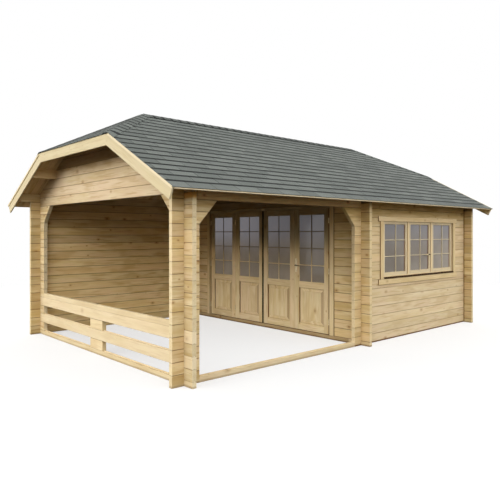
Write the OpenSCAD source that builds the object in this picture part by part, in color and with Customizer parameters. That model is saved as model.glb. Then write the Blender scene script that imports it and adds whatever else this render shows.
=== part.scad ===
// Log cabin of notched tongue-and-groove logs: an open veranda on the left, a closed room on
// the right behind a folding door, and a shingled roof whose two ends are half-hipped.
// The origin is the middle of the footprint at ground level, +X to the right along the front,
// +Y to the back, +Z up. All sizes are millimetres.

/* [Logs] */
// Thickness of a wall log
log_t = 56; // [48:1:70]
// Height of one course of logs
log_h = 135; // [125:1:145]
// Width of the tongue along the top of a log
tongue_w = 18; // [12:1:24]
// Height of the tongue
tongue_h = 10; // [6:1:14]
// Chamfer along the long edges of a log
log_chamfer = 4; // [2:0.5:6]
// Length of a log's end beyond the middle of the wall it crosses
log_arm = 180; // [130:5:240]

/* [Plan] */
// Length between the middles of the two end walls
cabin_l = 6320; // [6000:10:7000]
// Width between the middles of the front and back walls
cabin_w = 4100; // [3900:10:4600]
// Length of the veranda, from the middle of the left end to the middle of the partition
veranda_l = 3160; // [2900:10:3300]
// Courses of the front and back walls below the plate log
wall_rows = 16; // [15:1:17]

/* [Veranda] */
// Reach of the slanted braces beside the veranda's openings
brace_w = 252; // [150:1:350]
// Courses that a brace is cut from
brace_rows = 2; // [1:1:3]
// Course of the middle rail of the railing
rail_mid_row = 2; // [1:1:3]
// Course of the top rail of the railing
rail_top_row = 4; // [4:1:5]
// Length of the blocks between the rails
rail_block_w = 360; // [150:10:600]

/* [Roof] */
// Pitch of the front and back slopes, in degrees
roof_pitch = 27.8; // [25:0.1:31]
// Pitch of the half-hips at the ends, in degrees
hip_pitch = 26.7; // [24:0.1:30]
// Distance of the ridge's ends from the middles of the end walls
ridge_inset = 703; // [550:1:850]
// Reach of the eaves beyond the middles of the front and back walls
eave_overhang = 375; // [280:5:480]
// Reach of the bargeboards beyond the middles of the end walls
gable_overhang = 402; // [300:2:500]
// Thickness of the roof boards
board_t = 19; // [15:1:26]
// Thickness of the shingle covering at the lower edge of a course
shingle_t = 8; // [6:0.5:14]
// Thickness that a course of shingles loses towards its upper end
shingle_fall = 5; // [2:0.5:5]
// Height of a course of shingles along the slope
shingle_row = 152.5; // [100:0.5:200]
// Reach of the shingles beyond the bargeboards and the eaves' boards
shingle_drip = 8; // [4:1:20]
// Width of a ridge or hip cap, to each side
cap_w = 110; // [80:5:160]
// Thickness of a ridge or hip cap
cap_t = 4; // [3:0.5:8]
// Width of the purlins
purlin_w = 56; // [44:1:80]
// Height of the side purlins above the plate logs, in courses
purlin_course = 1.5; // [1:0.5:2]
// Height of the side purlins at their middle
purlin_h = 130; // [100:1:150]
// Height of the ridge purlin at its middle
ridge_purlin_h = 188; // [150:1:220]
// Width of the hip rafters
rafter_w = 44; // [36:1:60]
// Depth of the hip rafters
rafter_h = 110; // [80:1:150]
// Height of a bargeboard, square to its edge
barge_h = 135; // [110:1:170]
// Thickness of a bargeboard
barge_t = 20; // [16:1:30]

/* [Door] */
// Width of one leaf of the folding door
leaf_w = 740; // [650:1:790]
// Distance of the door's middle from the partition's middle, towards the back
door_off = 20; // [-60:1:60]
// Thickness of a leaf
leaf_t = 44; // [38:1:50]
// Gap between two leaves, and between a leaf and a jamb
leaf_gap = 3; // [2:0.5:5]
// Gap where the two pairs of leaves meet
meeting_gap = 16; // [5:0.5:16]
// Gap under the leaves
leaf_foot = 8; // [4:1:15]
// Width of a leaf's stiles
stile_w = 100; // [80:1:120]
// Height of a leaf's top rail
top_rail_h = 88; // [60:1:110]
// Height of a leaf's bottom rail
bottom_rail_h = 105; // [90:1:180]
// Height of the underside of the middle rail above the ground
mid_rail_z = 765; // [700:1:900]
// Height of a leaf's middle rail
mid_rail_h = 97; // [70:1:120]
// Depth of the sunk margin round a leaf's panel
panel_sink = 11; // [6:1:14]
// Width of the sunk margin round a leaf's panel
panel_margin = 60; // [30:1:80]
// Thickness of the door's and the window's glass
glass_t = 6; // [4:1:10]
// Face width of the door frame's members
door_frame_w = 48; // [40:1:60]
// Width of the boards beside the door
door_trim_w = 82; // [65:1:100]
// Radius of a hinge's knuckle
hinge_r = 8; // [6:0.5:10]
// Length of a hinge's knuckle
hinge_l = 90; // [60:1:120]
// Height of the door's lever above the ground
handle_z = 1125; // [950:1:1200]
// Length of the door's lever
lever_l = 115; // [90:1:130]
// Radius of the door's lever
lever_r = 9; // [7:0.5:11]
// Distance of the lever from the face of its leaf
lever_out = 42; // [35:1:60]
// Distance of the lever's plate from the edge of its leaf, to its middle
lever_in = 42; // [30:1:55]
// Height of the lever's plate
lever_plate_h = 220; // [160:1:260]
// Width of the lever's plate
lever_plate_w = 34; // [28:1:46]
// Share of the lever's plate that lies below the lever
plate_share = 0.5; // [0.4:0.05:0.7]
// Thickness of the lever's plate
lever_plate_t = 3; // [2:0.5:6]
// Length of the carrier that the leaves hang from
carrier_l = 64; // [40:1:90]
// Height of the carrier
carrier_h = 30; // [20:1:36]
// Thickness of the carrier
carrier_t = 14; // [8:1:20]

/* [Window] */
// Distance of the window's middle from the middle of the right end wall
window_from_end = 1545; // [1500:5:1600]
// Width of the opening in the front wall
window_w = 2230; // [1900:10:2350]
// Course that the window's opening starts on
window_row = 7; // [6:1:8]
// Courses that the window's opening takes up
window_rows = 7; // [6:1:7]
// Face width of the window frame and of its two mullions
frame_w = 40; // [30:1:50]
// Width of a sash's stiles and rails
sash_w = 50; // [40:1:80]
// Thickness of a sash
sash_t = 44; // [36:1:48]
// Width of the boards beside the window
side_trim_w = 80; // [60:1:120]
// Height of the board over the window
head_trim_h = 80; // [60:1:100]
// Height of the board under the window
sill_trim_h = 86; // [70:1:120]
// Reach of the boards over and under the window beyond those beside it
trim_ear = 50; // [0:1:70]
// Thickness of the boards round the door and the window
trim_t = 18; // [14:1:24]
// Reach of the boards over the door's and the window's frames
trim_lap = 26; // [15:1:30]

/* [Fit] */
// Room over a tongue in its groove
groove_room = 1; // [0.5:0.5:2]
// Gap between one course of logs and the next
seat = 0.4; // [0.3:0.1:0.8]
// Clearance between pieces that seat on each other
fit = 0.3; // [0.2:0.05:0.5]

/* [Hidden] */
$fn = 32;
pine = [0.86, 0.76, 0.58];
pine_dark = [0.78, 0.66, 0.46];
slate = [0.46, 0.50, 0.48];
pane = [0.60, 0.62, 0.66, 0.5];
brass = [0.72, 0.58, 0.30];
steel = [0.70, 0.71, 0.72];

// Walls
end_x = cabin_l / 2;
wall_y = cabin_w / 2;
part_x = veranda_l - end_x;
beam_row = wall_rows - 1;
brace_row = beam_row - brace_rows;
plate_z = wall_rows * log_h;
plate_top = plate_z + log_h;
notch_w = log_t + 2 * fit;
notch_d = log_h / 4;
groove_w = tongue_w + 2 * fit;
groove_d = tongue_h + groove_room;
tongue_draft = 2;
log_top = log_h - seat;
half_h = log_h / 2;
post_in = log_arm + fit;
min_slice = 30;

// Roof planes: the height at a distance y from the ridge line, or x from the middle, for a
// plane that lies d square above the underside of the roof boards
ridge_x = end_x - ridge_inset;
ridge_z = plate_top + (wall_y - log_t / 2) * tan(roof_pitch);
function slope_z(d, y) = ridge_z + d / cos(roof_pitch) - abs(y) * tan(roof_pitch);
function hip_z(d, x) = ridge_z + d / cos(hip_pitch) - (abs(x) - ridge_x) * tan(hip_pitch);
eave_y = wall_y + eave_overhang;
board_y = eave_y - shingle_drip;
barge_x = end_x + gable_overhang;
board_x = barge_x - barge_t - fit;
cover_x = barge_x + shingle_drip;
under = -seat;
cover_d = board_t + fit;
cover_top = cover_d + shingle_t;
cap_d = cover_top + fit;
// Hips, where a slope and a half-hip meet: direction in plan, pitch, and the tilts of the two
// planes as seen along a hip
hip_angle = atan2(tan(hip_pitch), tan(roof_pitch));
hip_fall = atan(tan(hip_pitch) * cos(hip_angle));
slope_tilt = atan(cos(hip_angle) * tan(roof_pitch) * cos(hip_fall));
half_hip_tilt = atan(sin(hip_angle) * tan(hip_pitch) * cos(hip_fall));
far = cabin_l + cabin_w;

// Purlins
purlin_z = slope_z(0, 0) - ridge_purlin_h;
side_purlin_z = plate_top + purlin_course * log_h;
side_purlin_y = (ridge_z - side_purlin_z - purlin_h) / tan(roof_pitch);

// Courses of the gables
gable_top = hip_z(0, end_x - log_t / 2);
last_gable_row = floor((gable_top - min_slice) / log_h + 0.5);
last_partition_row = floor((ridge_z - min_slice) / log_h + 0.5);

// Door
leaf_count = 4;
meeting_leaf = leaf_count / 2;
door_w = leaf_count * (leaf_w + leaf_gap) + meeting_gap;
door_open_w = door_w + 2 * door_frame_w + 2 * fit;
door_head_z = (beam_row + 0.5) * log_h - fit;
door_sill_z = half_h;
leaf_z = door_sill_z + leaf_foot;
leaf_top = door_head_z - door_frame_w - leaf_gap;
glass_z = mid_rail_z + mid_rail_h;
glass_h = leaf_top - top_rail_h - glass_z;
panel_z = leaf_z + bottom_rail_h;
panel_w = leaf_w - 2 * stile_w;
leaf_x = part_x - (log_t - leaf_t) / 2;
door_face_x = part_x - log_t / 2;
// Front edge of a leaf, counted from the left as the door is seen from the veranda
function leaf_y(i) =
    door_off + door_w / 2 - i * (leaf_w + leaf_gap) - (i > meeting_leaf ? meeting_gap - leaf_gap : 0);

// Window
sash_count = 3;
window_x = end_x - window_from_end;
window_z = window_row * log_h;
window_h = window_rows * log_h;
bay_w = (window_w - 2 * fit - (sash_count + 1) * frame_w) / sash_count;
sash_z = window_z + frame_w;
sash_h = window_h - 2 * frame_w - 2 * fit;

// A 2-D outline carried along X, or along Y
module lay_x(x0, x1) {
    translate([x0, 0, 0])
        rotate([90, 0, 90])
            linear_extrude(x1 - x0)
                children();
}

module lay_y(y0, y1) {
    translate([0, y1, 0])
        rotate([90, 0, 0])
            linear_extrude(y1 - y0)
                children();
}

// Section of a log from its bottom to its top, with a tongue above and a groove below
module log_section(bottom = 0, top = log_top, grooved = true, tongued = true) {
    edge = log_t / 2;
    flat = edge - log_chamfer;
    groove = [[-groove_w / 2, bottom], [-groove_w / 2, bottom + groove_d],
              [groove_w / 2, bottom + groove_d], [groove_w / 2, bottom]];
    tip = tongue_w / 2 - tongue_draft;
    tongue = [[tongue_w / 2, top], [tip, top + tongue_h],
              [-tip, top + tongue_h], [-tongue_w / 2, top]];
    polygon(concat(
        [[-flat, bottom]],
        grooved ? groove : [],
        [[flat, bottom], [edge, bottom + log_chamfer], [edge, top - log_chamfer], [flat, top]],
        tongued ? tongue : [],
        [[-flat, top], [-edge, top - log_chamfer], [-edge, bottom + log_chamfer]]
    ));
}

// The two notches, a quarter of a log deep, that let a log cross the ones of another wall
module cross_notches(upper = true) {
    translate([-notch_w / 2, -notch_w / 2, -log_h])
        cube([notch_w, notch_w, log_h + notch_d]);
    if (upper)
        translate([-notch_w / 2, -notch_w / 2, log_top - notch_d])
            cube([notch_w, notch_w, log_h]);
}

// A log along X on whole courses, with the places where other walls cross it
module x_log(x0, x1, row, crossings) {
    translate([0, 0, row * log_h])
        difference() {
            lay_x(x0, x1)
                log_section(grooved = row > 0);
            for (x = crossings)
                translate([x, 0, 0])
                    cross_notches();
        }
}

// A log along Y, half a course lower; the lowest one is the upper half of a log
module y_log(y0, y1, row, crossings) {
    translate([0, 0, (row - 0.5) * log_h])
        difference() {
            lay_y(y0, y1)
                log_section(bottom = row > 0 ? 0 : half_h, grooved = row > 0);
            for (y = crossings)
                translate([0, y, 0])
                    cross_notches();
        }
}

// The side of a slanted brace that is cut away, in the plane of its wall: the brace starts at
// the end of a log's arm, at height z, and reaches out by brace_w at the underside of the beam
module brace_cut(z) {
    rise = brace_rows * log_h;
    polygon([[-brace_w, z - rise], [2 * brace_w, z + 2 * rise], [2 * brace_w, z - rise]]);
}

// The space under the two slopes, and under the two half-hips, d above the boards' underside
module under_slopes(d) {
    lay_x(-far, far)
        polygon([[-far, 0], [far, 0], [far, slope_z(d, far)], [0, slope_z(d, 0)], [-far, slope_z(d, far)]]);
}

module under_hips(d) {
    low = -far;
    top_x = ridge_x / 2;
    top_z = hip_z(d, top_x);
    lay_y(-far, far)
        polygon([[-far, low], [far, low], [far, hip_z(d, far)], [top_x, top_z],
                 [-top_x, top_z], [-far, hip_z(d, far)]]);
}

// Slots in a gable's logs for the purlins that pass through it
module purlin_slot(y, z) {
    translate([-log_t, y - purlin_w / 2 - fit, z - seat / 2])
        cube([2 * log_t, purlin_w + 2 * fit, log_h * 3]);
}

module purlin_slots() {
    for (side = [-1, 1])
        purlin_slot(side * side_purlin_y, side_purlin_z);
    purlin_slot(0, purlin_z);
}

// Gable logs at x from the tie log up, cut to the roof and slotted for the purlins
module gable_log(x, row) {
    inner_y = wall_y - log_t / 2 - fit;
    reach = row > wall_rows ? inner_y : wall_y + log_arm;
    crossings = row > wall_rows ? [] : [-wall_y, wall_y];
    intersection() {
        translate([x, 0, 0])
            difference() {
                y_log(-reach, reach, row, crossings);
                purlin_slots();
            }
        under_slopes(under);
        under_hips(under);
    }
}

// Front wall
module front_corner_logs() {
    color(pine)
        translate([-end_x, -wall_y, 0])
            for (row = [0 : beam_row - 1])
                difference() {
                    x_log(-log_arm, log_arm + (row < brace_row ? 0 : brace_w), row, [0]);
                    if (row >= brace_row)
                        translate([log_arm, 0, 0])
                            lay_y(-log_t, log_t)
                                brace_cut(brace_row * log_h);
                }
}

module front_wall_logs() {
    cut = window_w / 2;
    color(pine)
        translate([0, -wall_y, 0])
            for (row = [0 : beam_row - 1])
                difference() {
                    x_log(part_x - log_arm - (row < brace_row ? 0 : brace_w), end_x + log_arm, row,
                          [part_x, end_x]);
                    if (row >= brace_row)
                        translate([part_x - log_arm, 0, 0])
                            mirror([1, 0, 0])
                                lay_y(-log_t, log_t)
                                    brace_cut(brace_row * log_h);
                    if (row >= window_row - 1 && row < window_row + window_rows)
                        translate([window_x - cut, -log_t, window_z - seat])
                            cube([window_w, 2 * log_t, window_h + seat]);
                }
}

module veranda_sill_log() {
    color(pine)
        translate([0, -wall_y, -half_h])
            lay_x(-end_x + post_in, part_x - post_in)
                log_section(bottom = half_h, grooved = false);
}

module front_beam_log() {
    color(pine)
        translate([0, -wall_y, 0])
            x_log(-end_x - log_arm, end_x + log_arm, beam_row, [-end_x, part_x, end_x]);
}

// A plate log: its top is bevelled to the roof, and it reaches to the backs of the bargeboards
module plate_log() {
    top_out = slope_z(under, wall_y + log_t / 2) - plate_z;
    top_in = slope_z(under, wall_y - log_t / 2) - plate_z;
    color(pine)
        translate([0, -wall_y, plate_z])
            difference() {
                lay_x(-board_x, board_x)
                    difference() {
                        polygon([[-log_t / 2, 0], [log_t / 2, 0], [log_t / 2, top_in],
                                 [-log_t / 2, top_out]]);
                        translate([-groove_w / 2, -groove_d])
                            square([groove_w, 2 * groove_d]);
                    }
                for (x = [-end_x, part_x, end_x])
                    translate([x, 0, 0])
                        cross_notches(upper = false);
            }
}

module front_plate_log() {
    plate_log();
}

module back_wall_logs() {
    color(pine)
        translate([0, wall_y, 0])
            for (row = [0 : beam_row])
                x_log(-end_x - log_arm, end_x + log_arm, row, [-end_x, part_x, end_x]);
}

module back_plate_log() {
    mirror([0, 1, 0])
        plate_log();
}

// Veranda's open end
module side_sill_log() {
    color(pine)
        translate([-end_x, 0, 0])
            y_log(-wall_y - log_arm, wall_y + log_arm, 0, [-wall_y, wall_y]);
}

module railing_logs() {
    color(pine)
        translate([-end_x, 0, 0]) {
            for (row = [rail_mid_row, rail_top_row])
                y_log(-wall_y - log_arm, wall_y + log_arm, row, [-wall_y, wall_y]);
            translate([0, 0, (rail_top_row + 0.5) * log_h])
                lay_y(-wall_y + post_in, wall_y - post_in)
                    log_section(top = half_h, tongued = false);
        }
}

module railing_blocks() {
    color(pine)
        translate([-end_x, 0, 0])
            for (row = [1 : rail_top_row - 1])
                if (row != rail_mid_row)
                    y_log(-rail_block_w / 2, rail_block_w / 2, row, []);
}

// Short logs of the post at the front of the open end, with the brace under the tie log
module post_side_logs() {
    brace_from = wall_rows - brace_rows;
    color(pine)
        translate([-end_x, -wall_y, 0])
            for (row = [1 : wall_rows - 1])
                if (row != rail_mid_row && row != rail_top_row)
                    difference() {
                        y_log(-log_arm, log_arm + (row < brace_from ? 0 : brace_w), row, [0]);
                        if (row >= brace_from)
                            translate([0, log_arm, 0])
                                lay_x(-log_t, log_t)
                                    brace_cut((brace_from - 0.5) * log_h);
                    }
}

module front_post_side_logs() {
    post_side_logs();
}

module back_post_side_logs() {
    mirror([0, 1, 0])
        post_side_logs();
}

module left_gable_logs() {
    color(pine)
        for (row = [wall_rows : last_gable_row])
            gable_log(-end_x, row);
}

// Partition between the veranda and the room
module partition_sill_log() {
    color(pine)
        translate([part_x, 0, 0])
            difference() {
                y_log(-wall_y - log_arm, wall_y + log_arm, 0, [-wall_y, wall_y]);
                translate([-log_t, door_off - door_open_w / 2, half_h - seat])
                    cube([2 * log_t, door_open_w, log_h]);
            }
}

// Logs from the front wall to the edge of the door's opening
module partition_side_logs(edge) {
    color(pine)
        translate([part_x, 0, 0])
            for (row = [1 : wall_rows - 1])
                y_log(-wall_y - log_arm, -edge, row, [-wall_y]);
}

module partition_front_logs() {
    partition_side_logs(door_open_w / 2 - door_off);
}

module partition_back_logs() {
    mirror([0, 1, 0])
        partition_side_logs(door_open_w / 2 + door_off);
}

module partition_gable_logs() {
    color(pine)
        for (row = [wall_rows : last_partition_row])
            gable_log(part_x, row);
}

// Right end wall
module right_wall_logs() {
    color(pine)
        translate([end_x, 0, 0])
            for (row = [0 : wall_rows - 1])
                y_log(-wall_y - log_arm, wall_y + log_arm, row, [-wall_y, wall_y]);
}

module right_gable_logs() {
    color(pine)
        for (row = [wall_rows : last_gable_row])
            gable_log(end_x, row);
}

// Roof frame
module side_purlins() {
    in_y = side_purlin_y - purlin_w / 2;
    out_y = side_purlin_y + purlin_w / 2;
    color(pine_dark)
        for (side = [-1, 1])
            lay_x(-board_x, board_x)
                polygon([[side * in_y, side_purlin_z], [side * out_y, side_purlin_z],
                         [side * out_y, slope_z(under, out_y)], [side * in_y, slope_z(under, in_y)]]);
}

module ridge_purlin() {
    edge = purlin_w / 2;
    color(pine_dark)
        lay_x(-ridge_x, ridge_x)
            polygon([[-edge, purlin_z], [edge, purlin_z], [edge, slope_z(under, edge)],
                     [0, slope_z(under, 0)], [-edge, slope_z(under, edge)]]);
}

// One quarter of the plan beyond a ridge end, from the ridge out to x
module hip_quarter(x) {
    translate([ridge_x + fit, fit, 0])
        cube([x - ridge_x - fit, far, far]);
}

module hip_rafter() {
    run = ridge_inset / cos(hip_angle);
    drop = ridge_inset * tan(hip_pitch);
    depth = rafter_h / cos(hip_pitch);
    intersection() {
        translate([ridge_x, 0, ridge_z])
            rotate([0, 0, hip_angle])
                translate([0, -rafter_w / 2, 0])
                    lay_y(0, rafter_w)
                        polygon([[-rafter_w, -depth], [0, -depth], [run, -drop - depth],
                                 [run, rafter_h], [-rafter_w, rafter_h]]);
        hip_quarter(end_x - log_t / 2 - fit);
        under_slopes(under);
        under_hips(under);
    }
}

module hip_rafters() {
    color(pine_dark)
        for (end = [0, 1], side = [0, 1])
            mirror([end, 0, 0])
                mirror([0, side, 0])
                    hip_rafter();
}

// Roof boards: those of the slopes end under the half-hips' boards
module slope_boards() {
    color(pine)
        intersection() {
            lay_x(-board_x, board_x)
                polygon([[-board_y, slope_z(0, board_y)], [-fit, slope_z(0, fit)],
                         [-fit, slope_z(board_t, fit)], [-board_y, slope_z(board_t, board_y)]]);
            under_hips(under);
        }
}

module front_roof_boards() {
    slope_boards();
}

module back_roof_boards() {
    mirror([0, 1, 0])
        slope_boards();
}

module hip_boards() {
    top_x = ridge_x - board_t;
    color(pine)
        intersection() {
            lay_y(-wall_y, wall_y)
                polygon([[board_x, hip_z(0, board_x)], [top_x, hip_z(0, top_x)],
                         [top_x, hip_z(board_t, top_x)], [board_x, hip_z(board_t, board_x)]]);
            under_slopes(board_t);
        }
}

module left_hip_boards() {
    mirror([1, 0, 0])
        hip_boards();
}

module right_hip_boards() {
    hip_boards();
}

// Stepped section of a shingle covering: courses rise along a slope from its foot, and each
// one is thickest at its lower edge, where it lies on the course below
module course_section(length, pitch) {
    rows = ceil(length / shingle_row);
    ends = [for (i = [0 : rows]) min(i * shingle_row, length)];
    steps = [for (i = [rows - 1 : -1 : 0], end = [1, 0])
        [ends[i + end], shingle_t - end * shingle_fall]];
    rotate([0, 0, pitch])
        polygon(concat([[0, 0], [length, 0]], steps));
}

module slope_shingles() {
    length = eave_y / cos(roof_pitch);
    color(slate)
        intersection() {
            lay_x(-cover_x, cover_x)
                translate([-eave_y, slope_z(cover_d, eave_y)])
                    course_section(length, roof_pitch);
            under_hips(board_t);
            translate([-far, -far - fit, 0])
                cube([2 * far, far, far]);
        }
}

module front_shingles() {
    slope_shingles();
}

module back_shingles() {
    mirror([0, 1, 0])
        slope_shingles();
}

module hip_shingles() {
    length = (cover_x - ridge_x) / cos(hip_pitch);
    color(slate)
        intersection() {
            mirror([1, 0, 0])
                lay_y(-wall_y, wall_y)
                    translate([-cover_x, hip_z(cover_d, cover_x)])
                        course_section(length, hip_pitch);
            under_slopes(cover_top);
        }
}

module left_hip_shingles() {
    mirror([1, 0, 0])
        hip_shingles();
}

module right_hip_shingles() {
    hip_shingles();
}

// Caps folded over the ridge and the hips
module ridge_cap() {
    color(slate)
        lay_x(-ridge_x, ridge_x)
            polygon([[-cap_w, slope_z(cap_d, cap_w)], [0, slope_z(cap_d, 0)], [cap_w, slope_z(cap_d, cap_w)],
                     [cap_w, slope_z(cap_d + cap_t, cap_w)], [0, slope_z(cap_d + cap_t, 0)],
                     [-cap_w, slope_z(cap_d + cap_t, cap_w)]]);
}

// Section of a hip's cap: two wings that lie on the slope and on the half-hip, seen along the hip
module hip_cap_section() {
    half_fold = (slope_tilt + half_hip_tilt) / 2;
    lean = (slope_tilt - half_hip_tilt) / 2;
    function fold(d) = d / cos(half_fold) * [sin(lean), cos(lean)];
    function on_slope(d) = [cap_w, d / cos(slope_tilt) - cap_w * tan(slope_tilt)];
    function on_half_hip(d) = [-cap_w, d / cos(half_hip_tilt) - cap_w * tan(half_hip_tilt)];
    top_d = cap_d + cap_t;
    polygon([on_half_hip(cap_d), fold(cap_d), on_slope(cap_d),
             on_slope(top_d), fold(top_d), on_half_hip(top_d)]);
}

module hip_cap() {
    intersection() {
        translate([ridge_x, 0, ridge_z])
            rotate([0, hip_fall, hip_angle])
                lay_x(-cap_w, far)
                    hip_cap_section();
        hip_quarter(cover_x);
    }
}

module hip_caps() {
    color(slate)
        for (end = [0, 1], side = [0, 1])
            mirror([end, 0, 0])
                mirror([0, side, 0])
                    hip_cap();
}

// Bargeboards: two sloped boards, cut square at their feet, and a level one under the half-hip,
// mitred where they meet
module bargeboards() {
    top_d = board_t - fit;
    low_d = top_d - barge_h;
    level = hip_z(top_d, barge_x);
    corner_y = (slope_z(top_d, 0) - level) / tan(roof_pitch);
    inner_y = (slope_z(low_d, 0) - level + barge_h) / tan(roof_pitch);
    foot_y = board_y - barge_h * sin(roof_pitch);
    color(pine)
        lay_x(barge_x - barge_t, barge_x) {
            for (side = [-1, 1])
                polygon([[side * board_y, slope_z(top_d, board_y)], [side * corner_y, level],
                         [side * inner_y, level - barge_h], [side * foot_y, slope_z(low_d, foot_y)]]);
            polygon([[fit - corner_y, level], [corner_y - fit, level],
                     [inner_y - fit, level - barge_h], [fit - inner_y, level - barge_h]]);
        }
}

module left_bargeboards() {
    mirror([1, 0, 0])
        bargeboards();
}

module right_bargeboards() {
    bargeboards();
}

// Folding door in the partition
module door_frame() {
    jamb_y = door_w / 2;
    color(pine)
        translate([part_x - log_t / 2, door_off, 0]) {
            for (side = [0, 1])
                mirror([0, side, 0])
                    translate([0, jamb_y, door_sill_z])
                        cube([log_t, door_frame_w, door_head_z - door_frame_w - door_sill_z - fit]);
            translate([0, -jamb_y - door_frame_w, door_head_z - door_frame_w])
                cube([log_t, door_w + 2 * door_frame_w, door_frame_w]);
        }
}

module door_trim() {
    in_y = door_w / 2 + door_frame_w - trim_lap;
    color(pine)
        for (face = [0, 1], side = [0, 1])
            translate([part_x, door_off, 0])
                mirror([face, 0, 0])
                    mirror([0, side, 0])
                        translate([log_t / 2 + fit, in_y, door_sill_z])
                            cube([trim_t, door_trim_w, door_head_z - door_sill_z]);
}

// A leaf, counted from the left; both faces have a sunk margin round the panel
module door_leaf(i) {
    panel_h = mid_rail_z - panel_z;
    color(pine)
        translate([leaf_x, leaf_y(i), 0])
            difference() {
                translate([-leaf_t / 2, 0, leaf_z])
                    cube([leaf_t, leaf_w, leaf_top - leaf_z]);
                translate([-leaf_t, stile_w, glass_z])
                    cube([2 * leaf_t, panel_w, glass_h]);
                for (face = [0, 1])
                    mirror([face, 0, 0])
                        translate([leaf_t / 2 - panel_sink, stile_w, panel_z])
                            difference() {
                                cube([leaf_t, panel_w, panel_h]);
                                translate([-leaf_t, panel_margin, panel_margin])
                                    cube([3 * leaf_t, panel_w - 2 * panel_margin,
                                          panel_h - 2 * panel_margin]);
                            }
            }
}

module door_leaf_1() {
    door_leaf(1);
}

module door_leaf_2() {
    door_leaf(2);
}

module door_leaf_3() {
    door_leaf(3);
}

module door_leaf_4() {
    door_leaf(4);
}

module door_glass() {
    color(pane)
        for (i = [1 : leaf_count])
            translate([leaf_x - glass_t / 2, leaf_y(i) + stile_w + fit, glass_z + fit])
                cube([glass_t, panel_w - 2 * fit, glass_h - 2 * fit]);
}

// Distance of a knuckle's axis from the faces whose edges it seats on, across a gap
function knuckle_out(gap) = sqrt(pow(hinge_r + fit, 2) - pow(gap / 2, 2));

// Hinge knuckles on a face of the leaves, at three heights
module hinge_row(x, y) {
    inset = stile_w + hinge_l;
    for (z = [leaf_z + inset, (leaf_z + leaf_top) / 2, leaf_top - inset])
        translate([x, y, z])
            cylinder(r = hinge_r, h = hinge_l, center = true);
}

// Hinges at the jambs and between the first two leaves on the veranda's side, between the
// second and third on the room's side, and the carrier over these two
module door_fittings() {
    out_x = door_face_x - knuckle_out(leaf_gap);
    in_x = door_face_x + leaf_t + knuckle_out(meeting_gap);
    color(steel) {
        for (y = [leaf_y(0), leaf_y(1), leaf_y(leaf_count)])
            hinge_row(out_x, y - leaf_gap / 2);
        hinge_row(in_x, leaf_y(meeting_leaf) - meeting_gap / 2);
        translate([door_face_x - fit - carrier_t, leaf_y(meeting_leaf) - (meeting_gap + carrier_l) / 2,
                   door_head_z - (door_frame_w + carrier_h) / 2])
            cube([carrier_t, carrier_l, carrier_h]);
    }
}

// Plate and lever on the last leaf, beside its edge
module door_handle() {
    plate_low = plate_share * lever_plate_h;
    color(brass)
        translate([door_face_x - fit, leaf_y(leaf_count) + leaf_w - lever_in, handle_z]) {
            translate([-lever_plate_t, -lever_plate_w / 2, -plate_low])
                cube([lever_plate_t, lever_plate_w, lever_plate_h]);
            rotate([0, -90, 0])
                cylinder(r = lever_r, h = lever_out);
            translate([-lever_out, lever_r, 0])
                rotate([90, 0, 0])
                    cylinder(r = lever_r, h = lever_l);
        }
}

// Window in the front wall
module window_frame() {
    x0 = window_x - window_w / 2 + fit;
    full_w = window_w - 2 * fit;
    post_z = window_z + frame_w + fit;
    post_h = window_h - 2 * frame_w - 3 * fit;
    color(pine)
        translate([0, -wall_y - log_t / 2, 0]) {
            for (z = [window_z, window_z + window_h - fit - frame_w])
                translate([x0, 0, z])
                    cube([full_w, log_t, frame_w]);
            for (i = [0 : sash_count])
                translate([x0 + i * (bay_w + frame_w), 0, post_z])
                    cube([frame_w, log_t, post_h]);
        }
}

// Places of the three sashes, from the left
function sash_x(i) = window_x - window_w / 2 + fit + frame_w + i * (bay_w + frame_w) + fit;

module window_sashes() {
    w = bay_w - 2 * fit;
    h = sash_h - 2 * fit;
    color(pine)
        for (i = [0 : sash_count - 1])
            translate([sash_x(i), -wall_y, sash_z + fit])
                difference() {
                    translate([0, -sash_t / 2, 0])
                        cube([w, sash_t, h]);
                    translate([sash_w, -sash_t, sash_w])
                        cube([w - 2 * sash_w, 2 * sash_t, h - 2 * sash_w]);
                }
}

module window_glass() {
    edge = sash_w + fit;
    color(pane)
        for (i = [0 : sash_count - 1])
            translate([sash_x(i) + edge, -wall_y - glass_t / 2, sash_z + fit + edge])
                cube([bay_w - 2 * fit - 2 * edge, glass_t, sash_h - 2 * fit - 2 * edge]);
}

module window_trim() {
    in_x = window_w / 2 - fit - trim_lap;
    out_x = in_x + side_trim_w;
    head_z = window_z + window_h - fit - head_trim_h + trim_lap;
    color(pine)
        translate([window_x, -wall_y, 0])
            for (face = [0, 1])
                mirror([0, face, 0])
                    translate([0, log_t / 2 + fit, 0]) {
                        for (side = [0, 1])
                            mirror([side, 0, 0])
                                translate([in_x, 0, window_z + fit])
                                    cube([side_trim_w, trim_t, head_z - window_z - 2 * fit]);
                        translate([-out_x - trim_ear, 0, head_z])
                            cube([2 * (out_x + trim_ear), trim_t, head_trim_h]);
                        translate([-out_x - trim_ear, 0, window_z - sill_trim_h])
                            cube([2 * (out_x + trim_ear), trim_t, sill_trim_h]);
                    }
}

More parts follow.
